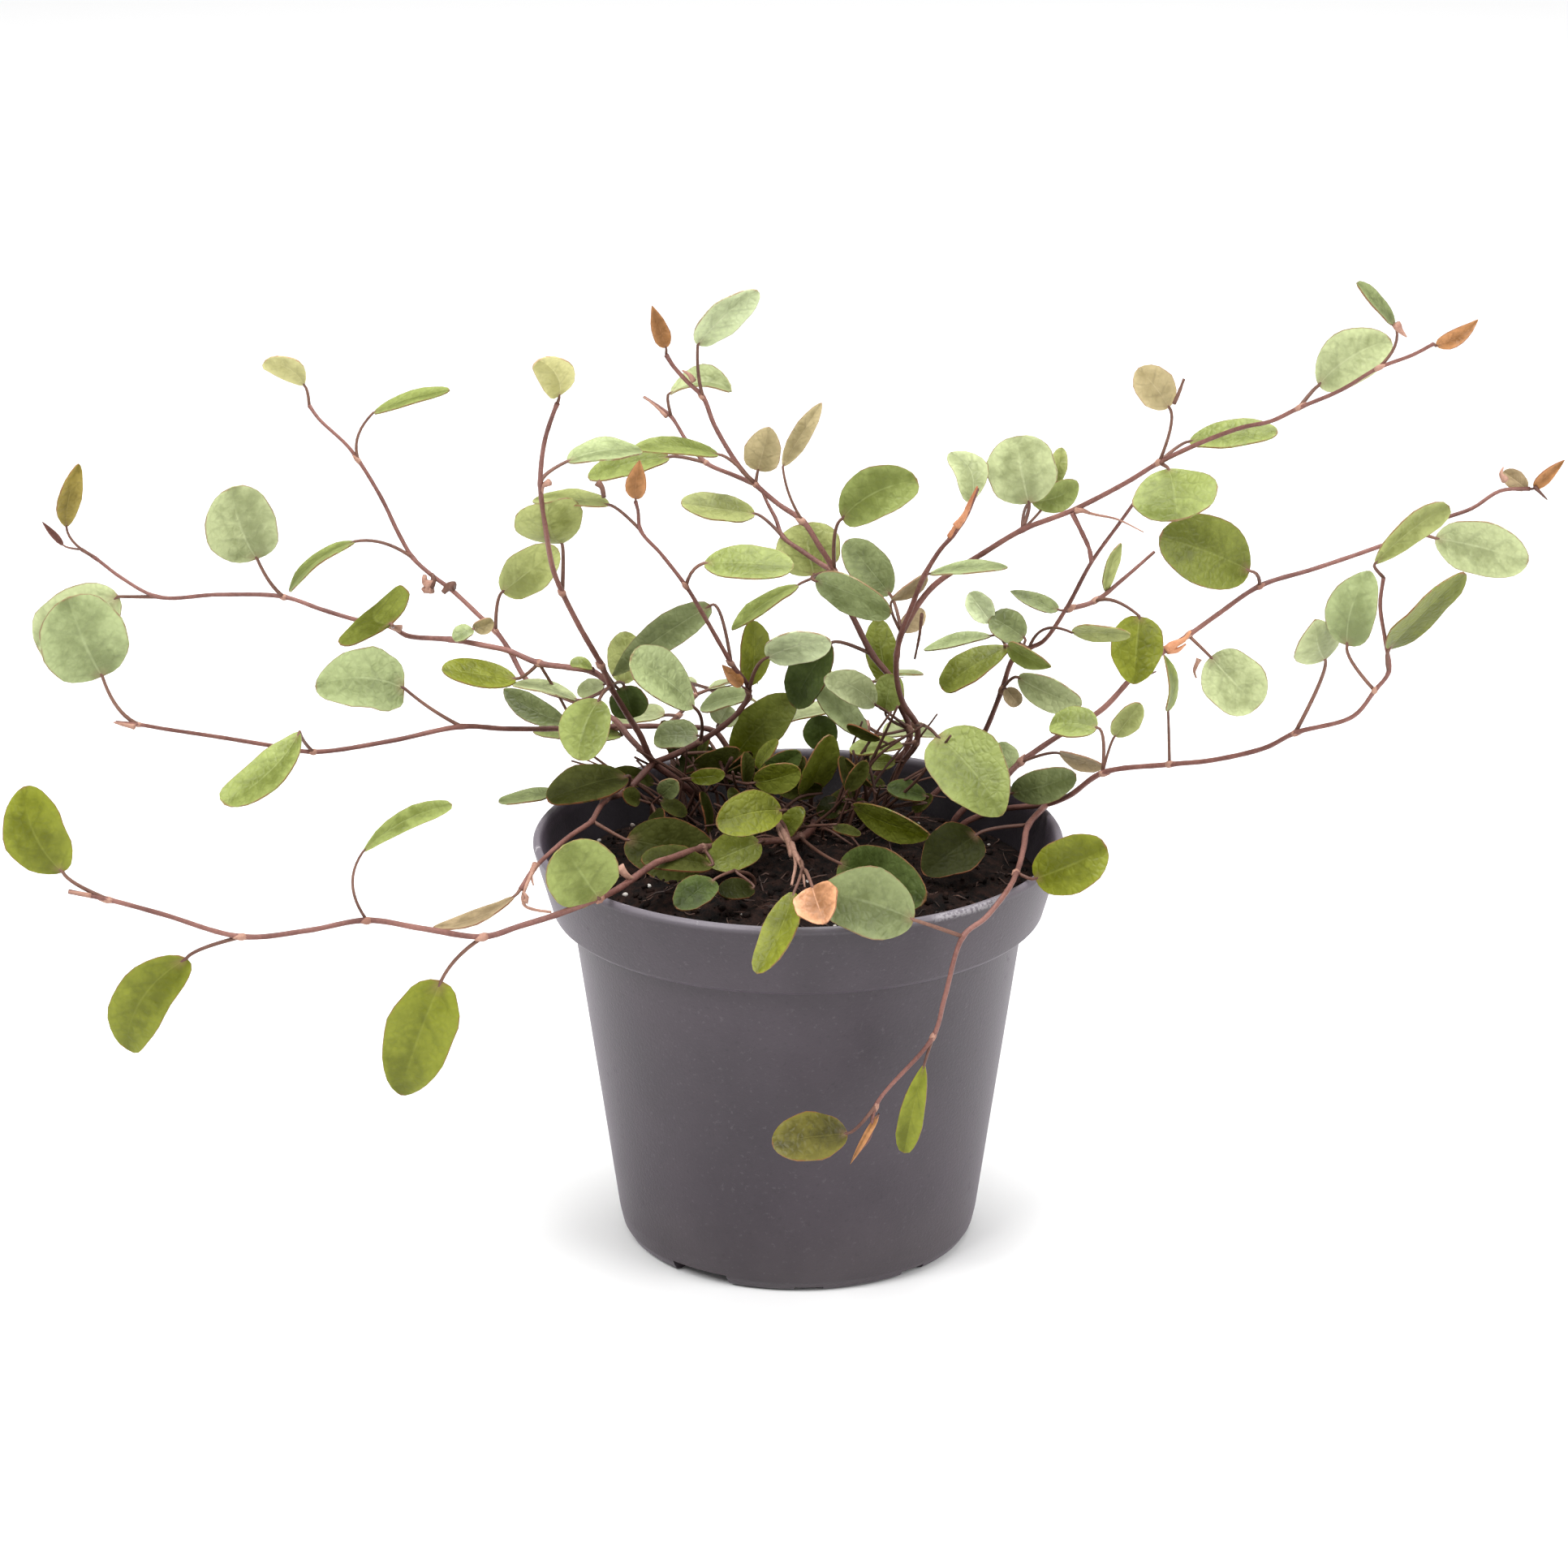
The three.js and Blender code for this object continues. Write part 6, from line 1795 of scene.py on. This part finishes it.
@dataclass
class Thicket(LeafyStem):
    """Thin dark shoots with small leaves that fill the crown between the named stems.

    Lengths are in millimetres. shoot_sway is how far a shoot's middle stands off to any side and
    shoot_rise how far above, shoot_thick and shoot_thins its radius at the base against shoot_radius
    and how much of that is gone at the tip. leaf_turn is how far a leaf may point below the level,
    leaf_wide its width against its length, and tip_depth how much deeper its tip may stand.
    """

    clumps: list[Clump] = field(default_factory=lambda: CLUMPS)
    shoot_step: float = 2.2
    shoot_sides: int = 6
    shoot_deep: float = 2
    shoot_sway: float = 3
    shoot_rise: float = 5
    shoot_radius: Span = (0.28, 0.5)
    shoot_thick: float = 1.1
    shoot_thins: float = 0.5
    leaf_counts: tuple[int, ...] = (0, 0, 1, 1)
    leaf_off: float = 2.0
    leaf_turn: float = 0.6
    leaf_long: Span = (5.5, 11)
    leaf_wide: Span = (0.42, 0.62)
    leaf_roll: float = 65
    leaf_depth: float = 3
    tip_depth: float = 2

    def build(self) -> bpy.types.Object:
        """Grows the shoots.

        Returns:
            The piece.
        """
        chance = random.Random(SEED)
        growth = Growth()
        for clump in self.clumps:
            for _ in range(clump.shoots):
                self.shoot(growth, clump, chance)
        return growth.piece(self.name, self.palette, "vine")

    def shoot(self, growth: Growth, clump: Clump, chance: random.Random) -> None:
        """Adds one shoot, which rises from the soil and leans over, with a few leaves.

        Args:
            growth: the mesh that it is added to.
            clump: the clump that it belongs to.
            chance: where its course comes from.
        """
        turn, far = chance.uniform(0, math.tau), clump.spread * math.sqrt(chance.random())
        x, y = clump.foot[0] + far * math.cos(turn), clump.foot[1] + far * math.sin(turn)
        start = Vector((x, y, soil_high(x, y) - self.shoot_deep))
        end = seen(tuple(chance.uniform(low, high) for low, high in zip(clump.low, clump.high)))
        sway = [chance.uniform(-self.shoot_sway, self.shoot_sway) for _ in range(2)]
        middle = start.lerp(end, 0.5) + Vector((*sway, chance.uniform(0, self.shoot_rise)))
        places, _ = smooth_path([start, middle, end], self.shoot_step)
        radius = chance.uniform(*self.shoot_radius)
        radii = [radius * (self.shoot_thick - self.shoot_thins * i / len(places)) for i in range(len(places))]
        growth.tube(places, radii, self.shoot_sides, Bark.BROWN)
        for _ in range(chance.choice(self.leaf_counts)):
            node = places[chance.randrange(len(places) // 2, len(places))]
            self.leaflet(growth, node, chance)

    def leaflet(self, growth: Growth, node: Vector, chance: random.Random) -> None:
        """Adds a small leaf that grows from a place on a shoot."""
        k = 1 - node.y / EYE.y
        x, z = EYE.x + (node.x - EYE.x) / k, EYE.z + (node.z - EYE.z) / k
        turn = chance.uniform(-self.leaf_turn, math.pi + self.leaf_turn)
        long = chance.uniform(*self.leaf_long)
        near, far = self.leaf_off, self.leaf_off + long
        y = node.y + chance.uniform(-self.leaf_depth, self.leaf_depth)
        tip_y = y + chance.uniform(-self.tip_depth, self.tip_depth)
        leaf = Leaf(
            0,
            (x + near * math.cos(turn), z + near * math.sin(turn), y),
            (x + far * math.cos(turn), z + far * math.sin(turn), tip_y),
            long * chance.uniform(*self.leaf_wide),
            chance.uniform(-self.leaf_roll, self.leaf_roll),
            # Look.SHADE among these is painted shade for leaves deep in the crown
            chance.choice((Look.SHADE, Look.DARK, Look.DARK, Look.OLIVE)),
        )
        self.leaf(growth, leaf, node, chance)


@dataclass(frozen=True)
class Lamp:
    """A square soft light: its name, its place and width in metres, and its power in watts."""

    name: str
    place: Point
    size: float
    power: float


LAMPS = (
    Lamp("key", (-0.9, -1.0, 1.5), 0.9, 30.0),
    Lamp("fill", (1.1, -0.8, 0.9), 0.9, 15.0),
    Lamp("top", (0.1, 0.3, 1.8), 1.2, 34.0),
)


@dataclass
class Studio:
    """The camera, the lights and the pale floor."""

    sky: float = 0.48
    aim: Point = (0, 0, 0.11)
    floor_half: float = 4.0
    floor_colour: Colour = (0.86, 0.86, 0.86)
    lens: float = 122.33
    sensor: float = 36.0
    tilt: float = 70.54

    def build(self) -> None:
        """Sets everything that isn't part of the object."""
        scene = bpy.context.scene
        scene.view_settings.view_transform = "Standard"
        self.camera()
        self.floor()
        world = bpy.data.worlds.new("studio")
        world.use_nodes = True
        sky = world.node_tree.nodes["Background"]
        sky.inputs["Color"].default_value = (1.0, 1.0, 1.0, 1.0)
        sky.inputs["Strength"].default_value = self.sky
        scene.world = world
        for lamp in LAMPS:
            self.light(lamp)

    def camera(self) -> None:
        """The camera, at the photograph's angle."""
        data = bpy.data.cameras.new("camera")
        data.lens = self.lens
        data.sensor_width = self.sensor
        data.clip_start = 0.05
        camera = bpy.data.objects.new("camera", data)
        camera.location = EYE * MM
        camera.rotation_euler = (math.radians(self.tilt), 0, 0)
        bpy.context.scene.collection.objects.link(camera)
        bpy.context.scene.camera = camera

    def floor(self) -> None:
        """A plain pale floor."""
        bm = bmesh.new()
        bmesh.ops.create_grid(bm, x_segments=2, y_segments=2, size=self.floor_half)
        mesh = ended(bm, "floor")
        shader = Shader("floor")
        values = {"Base Color": self.floor_colour, "Roughness": 0.9, "Specular IOR Level": 0.1}
        mesh.materials.append(shader.close(shader.skin(values)))
        floor = bpy.data.objects.new("floor", mesh)
        bpy.context.scene.collection.objects.link(floor)

    def light(self, lamp: Lamp) -> None:
        """Adds a light that shines at the middle of the plant."""
        data = bpy.data.lights.new(lamp.name, "AREA")
        data.shape = "SQUARE"
        data.size = lamp.size
        data.energy = lamp.power
        light = bpy.data.objects.new(lamp.name, data)
        light.location = lamp.place
        aim = Vector(self.aim) - Vector(lamp.place)
        light.rotation_euler = aim.to_track_quat("-Z", "Y").to_euler()
        bpy.context.scene.collection.objects.link(light)


def main() -> None:
    """Builds the object and the studio."""
    logging.basicConfig(level=logging.INFO, format="%(name)s %(message)s")
    random.seed(SEED)
    Studio().build()
    palette = Palette()
    Pot(palette).build()
    Soil(palette).build()
    Thicket("inner_shoots", [], palette).build()
    for name, runners in PLANT:
        LeafyStem(name, runners, palette).build()
    bpy.context.view_layer.update()


if __name__ == "__main__":
    main()
